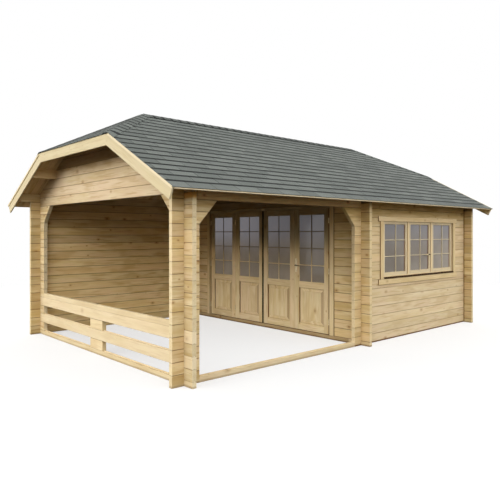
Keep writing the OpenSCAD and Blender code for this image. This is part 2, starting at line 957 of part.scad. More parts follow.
front_corner_logs();
front_wall_logs();
veranda_sill_log();
front_beam_log();
front_plate_log();
back_wall_logs();
back_plate_log();
side_sill_log();
railing_logs();
railing_blocks();
front_post_side_logs();
back_post_side_logs();
left_gable_logs();
partition_sill_log();
partition_front_logs();
partition_back_logs();
partition_gable_logs();
right_wall_logs();
right_gable_logs();
side_purlins();
ridge_purlin();
hip_rafters();
front_roof_boards();
back_roof_boards();
left_hip_boards();
right_hip_boards();
front_shingles();
back_shingles();
left_hip_shingles();
right_hip_shingles();
ridge_cap();
hip_caps();
left_bargeboards();
right_bargeboards();
door_frame();
door_trim();
door_leaf_1();
door_leaf_2();
door_leaf_3();
door_leaf_4();
door_glass();
door_fittings();
door_handle();
window_frame();
window_sashes();
window_glass();
window_trim();
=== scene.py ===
import math

import bpy
import numpy as np
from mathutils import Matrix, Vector


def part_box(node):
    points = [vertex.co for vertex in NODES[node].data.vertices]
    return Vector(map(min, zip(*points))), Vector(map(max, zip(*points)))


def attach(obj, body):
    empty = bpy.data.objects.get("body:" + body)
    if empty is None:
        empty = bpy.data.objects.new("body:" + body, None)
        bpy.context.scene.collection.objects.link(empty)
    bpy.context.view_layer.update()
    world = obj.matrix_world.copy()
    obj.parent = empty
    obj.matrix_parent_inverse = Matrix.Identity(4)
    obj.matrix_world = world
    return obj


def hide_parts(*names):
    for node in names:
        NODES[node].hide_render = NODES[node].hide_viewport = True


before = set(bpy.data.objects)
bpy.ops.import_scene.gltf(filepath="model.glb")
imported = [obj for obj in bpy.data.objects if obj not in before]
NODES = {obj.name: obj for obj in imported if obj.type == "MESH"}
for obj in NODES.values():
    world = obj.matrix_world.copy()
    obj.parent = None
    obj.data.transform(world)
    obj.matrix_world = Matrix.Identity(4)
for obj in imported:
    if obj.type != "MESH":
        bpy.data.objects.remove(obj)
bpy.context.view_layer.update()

RNG = np.random.default_rng(7)
X, Y, Z = np.eye(3)

# Sizes of the cabin, in metres, as its source has them
LOG_T, LOG_H, COURSES = 0.056, 0.135, 17
END_X, WALL_Y = 3.16, 2.05
PLATE_TOP = COURSES * LOG_H
SLOPE, HIP = math.radians(27.8), math.radians(26.7)
RIDGE_INSET = 0.703
RIDGE_X = END_X - RIDGE_INSET
RIDGE_Z = PLATE_TOP + (WALL_Y - LOG_T / 2) * math.tan(SLOPE)
EAVE_Y, BARGE_X = 2.425, 3.562
DRIP = 0.008
BOARD_Y, COVER_X = EAVE_Y - DRIP, BARGE_X + DRIP
BOARD_T, BARGE_T, BARGE_H = 0.019, 0.020, 0.135
FIT = 0.0003
BOARD_X = BARGE_X - BARGE_T - FIT
COVER_D = BOARD_T + FIT
SHINGLES_D = 0.008
CAP_D, CAP_W = COVER_D + SHINGLES_D + FIT, 0.110
HIP_TURN = math.atan2(math.tan(HIP), math.tan(SLOPE))
HIP_FALL = math.atan(math.tan(HIP) * math.cos(HIP_TURN))
SLOPE_TILT = math.atan(math.cos(HIP_TURN) * math.tan(SLOPE) * math.cos(HIP_FALL))
HALF_HIP_TILT = math.atan(math.sin(HIP_TURN) * math.tan(HIP) * math.cos(HIP_FALL))
HIP_RATIO = math.tan(HIP) / math.tan(SLOPE)
HIP_RUN = COVER_X - RIDGE_X


def slope_z(d, y):
    """Height of the front or back slope at y, d square above the boards' underside."""
    return RIDGE_Z + d / math.cos(SLOPE) - np.abs(y) * math.tan(SLOPE)


def hip_z(d, x):
    """Height of a half-hip at x, d square above the boards' underside."""
    return RIDGE_Z + d / math.cos(HIP) - (np.abs(x) - RIDGE_X) * math.tan(HIP)


# Finishes

def srgb(r, g, b):
    """A colour given as 0 to 255 per channel on screen, as linear light with alpha 1."""
    c = np.array([r, g, b]) / 255
    return (*np.where(c < 0.04045, c / 12.92, ((c + 0.055) / 1.055) ** 2.4).tolist(), 1.0)


class Term:
    """A value in a finish: a node's output, on which operators add Math nodes."""

    def __init__(self, finish, socket):
        self.finish, self.socket = finish, socket

    def out(self, name):
        return Term(self.finish, self.socket.node.outputs[name])

    def math(self, operation, *others):
        return self.finish.math(operation, self, *others)

    def __add__(self, other):
        return self.math("ADD", other)

    def __sub__(self, other):
        return self.math("SUBTRACT", other)

    def __rsub__(self, other):
        return self.finish.math("SUBTRACT", other, self)

    def __mul__(self, other):
        return self.math("MULTIPLY", other)

    def __truediv__(self, other):
        return self.math("DIVIDE", other)

    def __rtruediv__(self, other):
        return self.finish.math("DIVIDE", other, self)

    def __pow__(self, other):
        return self.math("POWER", other)

    __radd__, __rmul__ = __add__, __mul__


class Finish:
    """A material, or the world, whose nodes are added by expressions on Terms."""

    def __init__(self, name, owner=None):
        self.material = owner or bpy.data.materials.new(name)
        self.material.use_nodes = True
        self.tree = self.material.node_tree
        self.tree.nodes.clear()

    def node(self, kind, settings=None, values=None, out=0):
        """Any node: its settings are set first, then the values or links of its sockets."""
        made = self.tree.nodes.new(kind)
        for key, value in (settings or {}).items():
            setattr(made, key, value)
        for key, value in (values or {}).items():
            if isinstance(value, Term):
                self.tree.links.new(value.socket, made.inputs[key])
            else:
                made.inputs[key].default_value = value
        return Term(self, made.outputs[out]) if made.outputs else None

    def math(self, operation, *terms):
        return self.node("ShaderNodeMath", {"operation": operation}, dict(enumerate(terms)))

    def vector(self, x, y=0.0, z=0.0):
        return self.node("ShaderNodeCombineXYZ", None, {0: x, 1: y, 2: z})

    def split(self, vector):
        first = self.node("ShaderNodeSeparateXYZ", None, {0: vector})
        return first, first.out("Y"), first.out("Z")

    def step(self, value, low, high):
        """0 below low, 1 above high, smooth between; low above high turns it round."""
        return self.node("ShaderNodeMapRange", {"interpolation_type": "SMOOTHSTEP"},
                         {"Value": value, "From Min": low, "From Max": high})

    def between(self, value, low, high, soft=0.012):
        """1 between low and high, 0 outside, smooth at both."""
        return (self.step(value, low - soft, low + soft)
                * self.step(value, high + soft, high - soft))

    def mix(self, first, second, factor, kind="MIX"):
        return self.node("ShaderNodeMix", {"data_type": "RGBA", "blend_type": kind},
                         {0: factor, 6: first, 7: second}, 2)

    def toned(self, colour, tone, share=1.0):
        """The colour times a tone, which has three values or one for all channels."""
        if isinstance(tone, Term):
            tone = self.vector(tone, tone, tone)
        else:
            tone = (*np.broadcast_to(tone, 3).tolist(), 1)
        return self.mix(colour, tone, share, "MULTIPLY")

    def noise(self, vector, scale=1.0, detail=2.0, rough=0.5):
        return self.node("ShaderNodeTexNoise", None, {
            "Vector": vector, "Scale": scale, "Detail": detail, "Roughness": rough})

    def coords(self, kind="Object"):
        return self.node("ShaderNodeTexCoord").out(kind)

    def place(self):
        return self.split(self.coords())

    def uv(self):
        return self.split(self.coords("UV"))[:2]

    def attribute(self, name):
        return self.node("ShaderNodeAttribute", {"attribute_name": name}).out("Fac")

    def surface(self, height=None, strength=0.3, distance=0.002, **sockets):
        """The shader: a Principled BSDF with these sockets, and a bump from a height."""
        values = {key.replace("_", " "): value for key, value in sockets.items()}
        if height is not None:
            values["Normal"] = self.node("ShaderNodeBump", None, {
                "Height": height, "Strength": strength, "Distance": distance})
        shader = self.node("ShaderNodeBsdfPrincipled", None, values)
        self.node("ShaderNodeOutputMaterial", None, {"Surface": shader})
        return self.material


CREAM, HONEY, PINK = srgb(234, 217, 178), srgb(216, 192, 140), srgb(228, 202, 166)
LATEWOOD, KNOT_RIM, KNOT_HEART = srgb(190, 156, 102), srgb(180, 136, 84), srgb(128, 88, 52)
# Brown of the painted shade in the logs' joints, at the feet of the walls and along shaded edges of
# boards
JOINT_SHADE = srgb(104, 66, 30)
END_GRAIN = srgb(242, 230, 198)
WOOD_GLOSS = 0.05
# Cells for knots per metre along and across the grain, how much shorter a knot is along it than
# its cell, and the share of cells without one; waves of the growth rings, in radians per metre
KNOT_ALONG, KNOT_ACROSS, KNOT_SQUEEZE, NO_KNOT = 2.3, 7.5, 0.62, 0.62
RING_WAVES = 880.0


def pine(finish, along, rise, depth, seed, knots=1.0, vary=0.20):
    """Sawn pine: growth rings are waves of the distance from a pith that runs beside the piece
    and wanders along it, knots are cells stretched along it, streaks follow the grain, and
    patches of it are pinker or darker."""
    shift = seed * 61.0

    def stretched(slow, fast, detail=2.0):
        """A noise with slow waves per metre along the grain and fast ones across it."""
        place = finish.vector(along * slow + shift, rise * fast + shift, depth * fast)
        return finish.noise(place, 1.0, detail)

    streak, band, patch = stretched(0.7, 11.0, 3.0), stretched(2.6, 46.0), stretched(1.7, 5.0)
    wander = finish.noise(finish.vector(along * 0.45 + shift, shift), 1.0, 1.0)
    fibre = finish.noise(finish.vector(along * 12.0, rise * 330.0 + shift, depth * 330.0))

    cell = finish.vector(along * KNOT_ALONG + shift, rise * KNOT_ACROSS + shift * 3.0)
    knot = finish.node("ShaderNodeTexVoronoi", {"voronoi_dimensions": "2D"},
                       {"Vector": cell, "Scale": 1.0})
    cx, cy, _ = finish.split(cell)
    kx, ky, _ = finish.split(knot.out("Position"))
    chance, girth, _ = finish.split(knot.out("Color"))
    off_along, off_across = (cx - kx) / KNOT_ALONG * KNOT_SQUEEZE, (cy - ky) / KNOT_ACROSS
    off = (off_along ** 2.0 + off_across ** 2.0) ** 0.5
    grown = finish.math("GREATER_THAN", chance, NO_KNOT)
    size = (0.002 + girth * girth * 0.015) * grown * knots + 0.0001
    heart, halo = finish.step(off / size, 1.25, 0.6), finish.step(off / size, 3.4, 0.9)

    pith_rise, pith_depth = (seed - 0.5) * 0.11, wander * 0.05 + 0.02
    ring = ((rise - pith_rise) ** 2.0 + (depth - pith_depth) ** 2.0) ** 0.5
    ring = ring + streak * 0.012 + halo * 0.004
    late = (finish.math("SINE", ring * RING_WAVES) * 0.5 + 0.5) ** 3.0

    own = finish.step(finish.math("FRACT", seed * 7.31), 0.45, 1.0)
    dark_band = finish.step(band, 0.50, 0.70) * 0.55
    colour = finish.mix(HONEY, CREAM, finish.step(streak * 0.6 + band * 0.4, 0.34, 0.62))
    for tint, share in ((PINK, own * 0.5),
                        (PINK, finish.step(patch, 0.50, 0.66) * 0.60),
                        (LATEWOOD, finish.step(patch, 0.48, 0.34) * 0.42),
                        (LATEWOOD, late * 0.20 + fibre * 0.10 + dark_band),
                        (KNOT_RIM, halo * 0.50), (KNOT_HEART, heart * 0.50)):
        colour = finish.mix(colour, tint, share)
    tone = 1.08 - vary + finish.math("FRACT", seed * 3.77) * vary
    rough = 0.60 + late * 0.14 - heart * 0.16
    height = fibre * 0.5 - late * 0.4 - heart * 0.5
    return finish.toned(colour, tone), rough, height


# Spans for a wall's painted zones, and the distances over which the painted shade of joints and feet
# grows
FAR = 9.0
ANY = (-FAR, FAR)
JOINT_EDGE, FOOT_EDGE = (0.0062, 0.0020), (0.030, 0.016)
RING_SHIFT = 0.02


def log_pine(name, axis, number, half_course=False, coursed=True, joint=0.75, pale=0.0,
             vary=0.20, tint=None, foot=0.35, painted_zones=()):
    """Pine of the logs of one wall: each course has its own tree, the joints and the foot get a
    painted shade, and the ends are paler. tint is a tone over the whole wall, on walls in shade a
    painted shade, and each of the painted zones is a painted light or shade: a tone with the spans
    of x, y and z where it lies over that; a span may end with the width of its soft edge. Two
    shifts of the depth set the rings of neighbouring walls apart."""
    finish = Finish(name)
    px, py, pz = finish.place()
    along, depth = (px, py) if axis == "x" else (py, px)
    depth = depth - float(number % 2) * RING_SHIFT
    if coursed:
        lower = 0.5 if half_course else 0.0
        course = finish.math("FLOOR", pz / LOG_H + lower)
        local = pz - (course - lower) * LOG_H
    else:
        course, local = finish.math("FLOOR", py * 2.0), pz
    seed = finish.node("ShaderNodeTexWhiteNoise", {"noise_dimensions": "2D"},
                       {"Vector": finish.vector(course, number * 3.7)})
    wall = finish.math("FLOOR", depth * 0.5) * LOG_T
    colour, rough, height = pine(finish, along, local - LOG_H / 2, depth - wall, seed, vary=vary)
    colour = finish.mix(colour, CREAM, pale)
    if coursed:
        edge = finish.math("MINIMUM", local, LOG_H - local)
        # painted shade in the joints between courses
        colour = finish.mix(colour, JOINT_SHADE, finish.step(edge, *JOINT_EDGE) * joint)
    nx, ny, _ = finish.split(finish.coords("Normal"))
    end = finish.step(finish.math("ABSOLUTE", nx if axis == "x" else ny), 0.5, 0.7)
    colour = finish.mix(colour, END_GRAIN, end * 0.40)
    # painted shade along the foot of the wall
    colour = finish.mix(colour, JOINT_SHADE, finish.step(pz, *FOOT_EDGE) * foot)
    if tint:
        colour = finish.toned(colour, tint)
    # each zone's tone is a painted light or shade
    for tone, *spans in painted_zones:
        inside = 1.0
        for value, span in zip((px, py, pz), spans):
            if span is not ANY:
                inside = finish.between(value, *span) * inside
        colour = finish.toned(colour, tone, inside)
    return finish.surface(height, 0.25, Base_Color=colour, Roughness=rough + end * 0.1,
                          Specular_IOR_Level=WOOD_GLOSS)


def planed_pine(name, tint=None, pale=0.0, shade=None):
    """Pine of planed boards: the grain follows the piece's UV map, and each board has its own
    tone; ends show the rings and are paler, and edges with a negative end value get a painted
    shade. shade is a painted shade, a tone with two heights: it is absent at the first and full
    at the second."""
    finish = Finish(name)
    u, v = finish.uv()
    seed, end = finish.attribute("tone"), finish.attribute("end")
    colour, rough, height = pine(finish, u, v, end * 0.02, seed, knots=0.7, vary=0.10)
    colour = finish.mix(colour, CREAM, finish.math("MAXIMUM", end, 0.0) * 0.45 + pale)
    # painted shade on edges and steps whose end value is below 0
    colour = finish.mix(colour, JOINT_SHADE, finish.math("MAXIMUM", end * -1.0, 0.0))
    if tint:
        colour = finish.toned(colour, tint)
    if shade:
        tone, absent, full = shade
        colour = finish.toned(colour, tone, finish.step(finish.place()[2], absent, full))
    return finish.surface(height, 0.2, Base_Color=colour, Roughness=rough - 0.05,
                          Specular_IOR_Level=WOOD_GLOSS)


# Shingles: the step of their courses, a tab's width and thickness, its length, the lift of its lower
# edge and the gap beside it, what the first course shows more, the tabs' small shifts, drift and
# curl, the least that is made of a tab, and where the shade of the next course grows
SHINGLE_ROW, SHINGLE_W, SHINGLE_T = 0.1525, 0.333, 0.0026
SHINGLE_L, SHINGLE_LIFT, SHINGLE_GAP = 2.15 * SHINGLE_ROW, 0.0052, 0.005
FIRST_ROW, STAGGER = 0.036, 0.04
TAB_DRIFT, TAB_CURL, SLIVER, HIP_EASE = 0.0015, 0.0012, 0.02, 0.015
SHADE_FROM, SHADE_TO = SHINGLE_ROW - 0.042, SHINGLE_ROW - 0.029


def shingle_felt(name, level, back=1.0):
    """Mineral felt: grey-green granules, each tab with its own tone, a painted dark band for the
    shade that the next course casts, painted shade beside the slots between tabs and dark cut
    edges. level is a tone over the whole felt, and back a painted shade over it on the back of
    the roof."""
    finish = Finish(name)
    u, v = finish.uv()
    tone, edge = finish.attribute("tone"), finish.attribute("end")
    place = finish.coords()
    grain, patch = finish.noise(place, 420.0, 2.0, 0.7), finish.noise(place, 2.6, 3.0)
    width = SHINGLE_W - SHINGLE_GAP
    # distance to the slots between tabs, beside which a painted shade darkens the felt
    slot = finish.math("MINIMUM", *[finish.math("ABSOLUTE", u - n * width) for n in (1, 2)])
    share = finish.step(tone * 0.5 + patch * 0.6, 0.0, 1.1)
    colour = finish.mix(srgb(85, 91, 87), srgb(112, 118, 113), share)
    for tint, share in (
            (srgb(58, 66, 64), finish.step(grain, 0.50, 0.30) * 0.55),
            (srgb(168, 178, 172), finish.step(grain, 0.60, 0.78) * 0.40),
            (srgb(24, 28, 28), finish.step(slot, 0.010, 0.005) * 0.15),
            (srgb(6, 9, 9), finish.step(v, SHADE_FROM, SHADE_TO) * (0.88 + tone * 0.12)),
            (srgb(38, 42, 42), edge * 0.75)):
        colour = finish.mix(colour, tint, share)
    colour = finish.toned(colour, level)
    # painted shade on the back of the roof
    if back < 1.0:
        colour = finish.toned(colour, back, finish.step(finish.place()[1], 0.0, 0.05))
    return finish.surface(grain, 0.5, 0.0015, Base_Color=colour, Roughness=0.92 - grain * 0.08)


def pane_glass(name, glow, lean=0.0, painted_light_fade=None):
    """Grey glass: partly clear, with a film of dust that dulls it; its colour is painted paler and
    cooler towards the top as a painted reflection of the sky, and it glows with a painted sheen of
    the sky that is cooler and stronger towards the top, and by lean stronger towards +Y. The last
    argument is a span of x and the tones of a painted light at its ends."""
    finish = Finish(name)
    film = finish.noise(finish.coords(), 2.2, 4.0)
    across, side, height = finish.place()
    colour = finish.mix(srgb(134, 124, 112), srgb(150, 141, 130), finish.step(film, 0.3, 0.7))
    # painted reflection of the sky
    colour = finish.mix(colour, srgb(140, 140, 148), finish.step(height, 1.35, 1.85) * 0.8)
    if painted_light_fade:
        start, end, low, high = painted_light_fade
        colour = finish.toned(colour, finish.step(across, start, end) * (high - low) + low)
    # a painted sheen of the sky, given off as a glow
    painted_sheen = finish.mix(srgb(54, 50, 45), srgb(88, 88, 93), finish.step(height, 1.15, 1.80))
    if lean:
        painted_sheen = finish.toned(painted_sheen, 1.08 - lean + finish.step(side, -1.5, 1.5) * lean * 2.0)
    return finish.surface(Base_Color=colour, Roughness=0.03 + film * 0.06, IOR=1.5,
                          Alpha=0.74 + film * 0.12, Emission_Color=painted_sheen, Emission_Strength=glow)


def metal(name, colour, dull, smudge, bare):
    """Metal with smudges: a noise dulls it here and there and darkens it a little."""
    finish = Finish(name)
    place = finish.coords()
    wear_and_shade, fine = finish.noise(place, 38.0, 4.0), finish.noise(place, 900.0, 1.0)
    dark = (*[0.62 * c for c in colour[:3]], 1.0)
    shade = finish.mix(colour, dark, finish.step(wear_and_shade, 0.45, 0.75))
    return finish.surface(fine, 0.05, 0.0005, Base_Color=shade, Metallic=bare,
                          Roughness=dull + wear_and_shade * smudge)


def worn_skin(name, clean, worn_and_shaded, scale, onset, rough):
    """Paint or rubber: rubbed or dusty where a noise of this scale rises past onset."""
    finish = Finish(name)
    wear_and_shade = finish.noise(finish.coords(), scale, 4.0)
    colour = finish.mix(clean, worn_and_shaded, finish.step(wear_and_shade, onset, onset + 0.25))
    return finish.surface(wear_and_shade, 0.1, Base_Color=colour, Roughness=rough + wear_and_shade * 0.2,
                          Specular_IOR_Level=0.05)


# Shapes

def loft(name, rings, along, around, finish, tone=None, replaces=(), smooth=False,
         face_axes=None, strips=0.0, ends=1.0):
    """Closed profiles carried along paths: rings has one row per piece, station and profile
    point, and quads join each point to its neighbours; the first and last profiles close it.
    along and around are the UV lengths per station and per profile edge. The closing profiles
    are end grain, or faces with UV along face_axes. ends and strips, the latter per step and
    profile edge, are the values of the end attribute: above 0 for paler end grain, below 0 for a
    painted shade."""
    count, stations, points = rings.shape[:3]
    index = np.arange(count * stations * points).reshape(count, stations, points)
    after = np.roll(index, -1, 2)
    sides = np.stack([index[:, :-1], after[:, :-1], after[:, 1:], index[:, 1:]], -1).reshape(-1, 4)
    caps = np.concatenate([index[:, 0, ::-1], index[:, -1]])
    tone = RNG.random(count) if tone is None else tone
    u = np.broadcast_to(along, (count, stations))
    v = np.broadcast_to(around, (count, points + 1))
    shape = (count, stations - 1, points)
    u0, u1 = (np.broadcast_to(a[:, :, None], shape) for a in (u[:, :-1], u[:, 1:]))
    v0, v1 = (np.broadcast_to(a[:, None], shape) for a in (v[:, :-1], v[:, 1:]))
    side_uv = np.stack([np.stack([u0, u0, u1, u1], -1),
                        np.stack([v0, v1, v1, v0], -1)], -1).reshape(-1, 2)
    flat = rings - rings.mean((1, 2), keepdims=True)
    axes = face_axes or (X + Y, Z)
    cap_u, cap_v = flat @ axes[0], flat @ axes[1]
    cap_uv = np.concatenate([np.stack([cap_u[:, 0, ::-1], cap_v[:, 0, ::-1]], -1),
                             np.stack([cap_u[:, -1], cap_v[:, -1]], -1)]).reshape(-1, 2)
    mesh = bpy.data.meshes.new(name)
    mesh.from_pydata(rings.reshape(-1, 3).tolist(), [], sides.tolist() + caps.tolist())
    mesh.uv_layers.new(name="UVMap").data.foreach_set(
        "uv", np.concatenate([side_uv, cap_uv]).astype(np.float32).ravel())
    mesh.attributes.new("tone", "FLOAT", "POINT").data.foreach_set(
        "value", np.repeat(tone, stations * points).astype(np.float32))
    strips = np.broadcast_to(np.asarray(strips, float)[..., None], (*shape, 4)).ravel()
    cap_end_and_shade = np.full(caps.size, 0.0 if face_axes else ends)
    worn_and_shaded = np.concatenate([strips, cap_end_and_shade]).astype(np.float32)
    mesh.attributes.new("end", "FLOAT", "CORNER").data.foreach_set("value", worn_and_shaded)
    if smooth:
        mesh.polygons.foreach_set("use_smooth", np.arange(len(mesh.polygons)) < len(sides))
    mesh.validate()
    mesh.materials.append(finish)
    piece = bpy.data.objects.new(name, mesh)
    bpy.context.scene.collection.objects.link(piece)
    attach(piece, "root")
    if replaces:
        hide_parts(*replaces)
    return piece


# Chamfers of boards, of bars and trim, and of strips and plates
CHAMFER, BAR_CHAMFER, STRIP_CHAMFER = 0.002, 0.003, 0.001


class Boards:
    """A list of planed boards that becomes one piece: each is a rectangle with chamfered
    corners carried from start to end, whose ends may be cut askew."""

    def __init__(self):
        self.rows = []

    def add(self, start, end, across, width, thick, chamfer=CHAMFER, cuts=(0.0, 0.0)):
        start, end, across = (np.asarray(a, float) for a in (start, end, across))
        self.rows.append((start, end, across, width, thick, chamfer, *cuts))
        return self

    def frame(self, centre, right, up, width, height, face, thick, chamfer):
        """Four boards round an opening of this width and height, face wide, mitred."""
        for along, across, reach, off in ((up, right, height, width), (right, up, width, height)):
            for side in (-1.0, 1.0):
                middle = centre + across * side * (off + face) / 2
                half = along * (reach + face) / 2
                self.add(middle - half, middle + half, across, face, thick, chamfer, (-side, side))

    def piece(self, name, slot, finish, replaces=(), edges=0.0, ends=1.0):
        """Makes the piece; edges and ends are the end values of the narrow sides and of the ends:
        above 0 for paler end grain, below 0 for a painted shade.
        """
        start, end, across = (np.stack([row[i] for row in self.rows]) for i in range(3))
        width, thick, chamfer, cut0, cut1 = np.array([row[3:] for row in self.rows]).T
        length = np.linalg.norm(end - start, axis=1)
        along = (end - start) / length[:, None]
        normal = np.cross(along, across)
        c = chamfer[:, None, None]
        inset = np.array([1.0, 0.0, 0.0, 1.0])[None, :, None] * c
        w, t = width[:, None, None] / 2 - inset, thick[:, None, None] / 2 - inset
        p = np.concatenate([c - w, w - c, w, w, w - c, c - w, -w, -w], 2)
        q = np.concatenate([-t, -t, c - t, t - c, t, t, t - c, c - t], 2)
        reach = np.stack([0 * length, chamfer, length - chamfer, length], 1)
        skew = np.stack([cut0, cut0, cut1, cut1], 1)
        s = reach[:, :, None] + skew[:, :, None] * p
        rings = (start[:, None, None] + s[..., None] * along[:, None, None]
                 + p[..., None] * across[:, None, None] + q[..., None] * normal[:, None, None])
        edge = np.hypot(np.roll(p, -1, 2) - p, np.roll(q, -1, 2) - q)[:, 1]
        around = np.concatenate([0 * edge[:, :1], np.cumsum(edge, 1)], 1) - width[:, None] / 2
        offset = RNG.random(len(length))[:, None] * 9
        # the narrow sides' painted shade, when edges is below 0
        strips = edges * np.array([0, 1, 1, 1, 0, 1, 1, 1])
        return loft(name, rings, reach + offset, around, finish, replaces=replaces,
                    strips=strips, ends=ends)


class RoofPlane:
    """A slope or half-hip: its eave's middle, the directions up it and square to it, the
    length up it and the half width where the hips leave it, at a distance up it."""

    def __init__(self, side, hip):
        pitch, out = (HIP, X * side) if hip else (SLOPE, Y * side)
        reach = COVER_X if hip else EAVE_Y
        level = hip_z(COVER_D, reach) if hip else slope_z(COVER_D, reach)
        self.foot = out * reach + Z * level
        self.along = Z * math.sin(pitch) - out * math.cos(pitch)
        self.up = Z * math.cos(pitch) + out * math.sin(pitch)
        self.across = np.cross(self.up, self.along)
        self.run = reach - RIDGE_X if hip else reach
        self.pitch, self.hip = pitch, hip
        self.length = self.run / math.cos(pitch)

    def half(self, s):
        """Half the plane's width at a distance s up it."""
        left = self.run - s * math.cos(self.pitch)
        return left * HIP_RATIO if self.hip else np.minimum(RIDGE_X + left / HIP_RATIO, COVER_X)

    def height(self, c):
        """Distance up the plane at which a hip passes over c."""
        left = c / HIP_RATIO if self.hip else (c - RIDGE_X) * HIP_RATIO
        return (self.run - left) / math.cos(self.pitch)

    def point(self, c, s, h):
        """The place c across, s up and h above the plane."""
        return (self.foot + c[..., None] * self.across + s[..., None] * self.along
                + h[..., None] * self.up)


def shingle_tabs(name, plane, node, finish):
    """Courses of straight-cut tabs: each tab is a thin sheet that lies on the two courses below,
    highest at its lower edge; courses step by half a tab, hips cut them askew, and the first
    course shows more of itself than the others."""
    rows = np.arange(math.ceil(plane.length / SHINGLE_ROW))
    most = math.ceil(COVER_X / SHINGLE_W) + 2
    columns = np.arange(-most, most + 1)
    row, column = (a.ravel() for a in np.meshgrid(rows, columns, indexing="ij"))
    foot = row * SHINGLE_ROW + RNG.uniform(-TAB_DRIFT, TAB_DRIFT, row.size)
    foot = np.where(row == 0, 0.0, foot + FIRST_ROW)
    low = (column + (row % 2) * 0.5 + (row % 3) * STAGGER) * SHINGLE_W
    high = low + SHINGLE_W - SHINGLE_GAP
    widest = plane.half(foot)
    inner = np.where((low < 0) & (high > 0), 0.0, np.minimum(np.abs(low), np.abs(high)))
    top = np.minimum(foot + SHINGLE_L, np.minimum(plane.length, plane.height(inner + HIP_EASE)))
    keep = (inner < widest - SLIVER) & (top > foot + SLIVER)
    foot, low, high, top = foot[keep], low[keep], high[keep], top[keep]
    lead = np.where(row[keep] == 0, FIRST_ROW, 0.0)[:, None]
    share = np.array([0.0, 0.5, 1.0])
    s = foot[:, None] + share * (top - foot)[:, None]
    limit = plane.half(s)
    c0, c1 = np.maximum(low[:, None], -limit), np.minimum(high[:, None], limit)
    curl = RNG.uniform(0, TAB_CURL, foot.size)[:, None]
    under = SHINGLE_LIFT * (1 - (s - foot[:, None]) / SHINGLE_L) + curl * (1 - share) ** 2
    over = under + SHINGLE_T
    c = np.stack([c0, c1, c1, c0], 2)
    h = np.stack([under, under, over, over], 2)
    rings = plane.point(c, np.broadcast_to(s[:, :, None], c.shape), h)
    width = (high - low)[:, None]
    around = np.concatenate([0 * width, width, width, 2 * width, 2 * width], 1)
    up_tab = s - foot[:, None] - lead
    return turned(loft(name, rings, up_tab, around, finish, replaces=(node,)))


def turned(piece):
    """Swaps the two UV axes, so that v runs up a tab."""
    layer = piece.data.uv_layers[0].data
    uv = np.empty(len(layer) * 2, np.float32)
    layer.foreach_get("uv", uv)
    layer.foreach_set("uv", uv.reshape(-1, 2)[:, ::-1].ravel())
    return piece


# Caps: points across, the fold's radius, the sag of the edges, the lap in courses, the inset of the
# first one's foot, and the lift of a cap's foot and head
CAP_POINTS, CAP_FOLD, CAP_BOW, CAP_LAP, CAP_INSET = 9, 0.012, 0.006, 1.45, 0.004
CAP_LIFT = np.array([0.0042, 0.0004])


def cap_tabs(name, node, finish, lines):
    """Caps folded over a ridge or a hip: a sheet bent to the tilts of the planes on its two
    sides, with a rounded fold, repeated up the line so that each lies on the one before."""
    rings, lengths = [], []
    for foot, head, tilts in lines:
        foot, head = np.asarray(foot, float), np.asarray(head, float)
        length = np.linalg.norm(head - foot)
        along = (head - foot) / length
        across = np.cross(along, Z)
        across /= np.linalg.norm(across)
        up = np.cross(across, along)
        c = np.linspace(-1, 1, CAP_POINTS) * CAP_W
        tilt = np.where(c < 0, tilts[0], tilts[1])
        drop = np.hypot(c, CAP_FOLD) * np.tan(tilt) - CAP_FOLD * math.tan(max(tilts))
        drop += CAP_BOW * np.abs(c / CAP_W) ** 3
        base = CAP_D / math.cos(sum(tilts) / 2)
        start = np.arange(0, length - SLIVER, SHINGLE_ROW)
        end = np.minimum(start + SHINGLE_ROW * CAP_LAP, length)
        s = np.stack([start, end], 1)
        askew = -across[0] / along[0] if abs(along[1]) > 0.01 else 0.0
        under = base - drop
        h = np.concatenate([under, under[::-1] + SHINGLE_T])
        cc = np.concatenate([c, c[::-1]])
        reach = np.broadcast_to(s[:, :, None], (*s.shape, cc.size)).copy()
        reach[0, 0] = askew * cc + CAP_INSET
        rings.append(foot + reach[..., None] * along + cc[:, None] * across
                     + (h[None, None, :] + CAP_LIFT[None, :, None])[..., None] * up)
        lengths.append(s - start[:, None])
    rings, along = np.concatenate(rings), np.concatenate(lengths)
    around = np.concatenate([[0], np.cumsum(np.full(rings.shape[2], 2 * CAP_W / (CAP_POINTS - 1)))])
    return turned(loft(name, rings, along, around, finish, replaces=(node,)))


PLANK_PITCH, PLANK_GAP, PLANK_CHAMFER, SHORTEST_PLANK = 0.0957, 0.0006, 0.0035, 0.05


def slope_boards(name, side, node, finish):
    """Roof boards of a slope, side by side along it, cut askew under a half-hip."""
    rows = Boards()
    count = int(2 * BOARD_X / PLANK_PITCH)
    pitch = 2 * BOARD_X / count
    for x in -BOARD_X + (np.arange(count) + 0.5) * pitch:
        past = abs(x) - RIDGE_X
        whole = past > pitch / 2
        hip_y = (past if whole else past + pitch / 2) * HIP_RATIO
        top_y = max(FIT + BOARD_T / 2 * math.sin(SLOPE), hip_y)
        cut = math.copysign(HIP_RATIO / math.cos(SLOPE), x) if whole else 0.0
        start = X * x + Y * side * BOARD_Y + Z * slope_z(BOARD_T / 2, BOARD_Y)
        end = X * x + Y * side * top_y + Z * slope_z(BOARD_T / 2, top_y)
        rows.add(start, end, X, pitch - PLANK_GAP, BOARD_T, PLANK_CHAMFER, (0.0, -cut))
    return rows.piece(name, "roof_timber", finish, (node,))


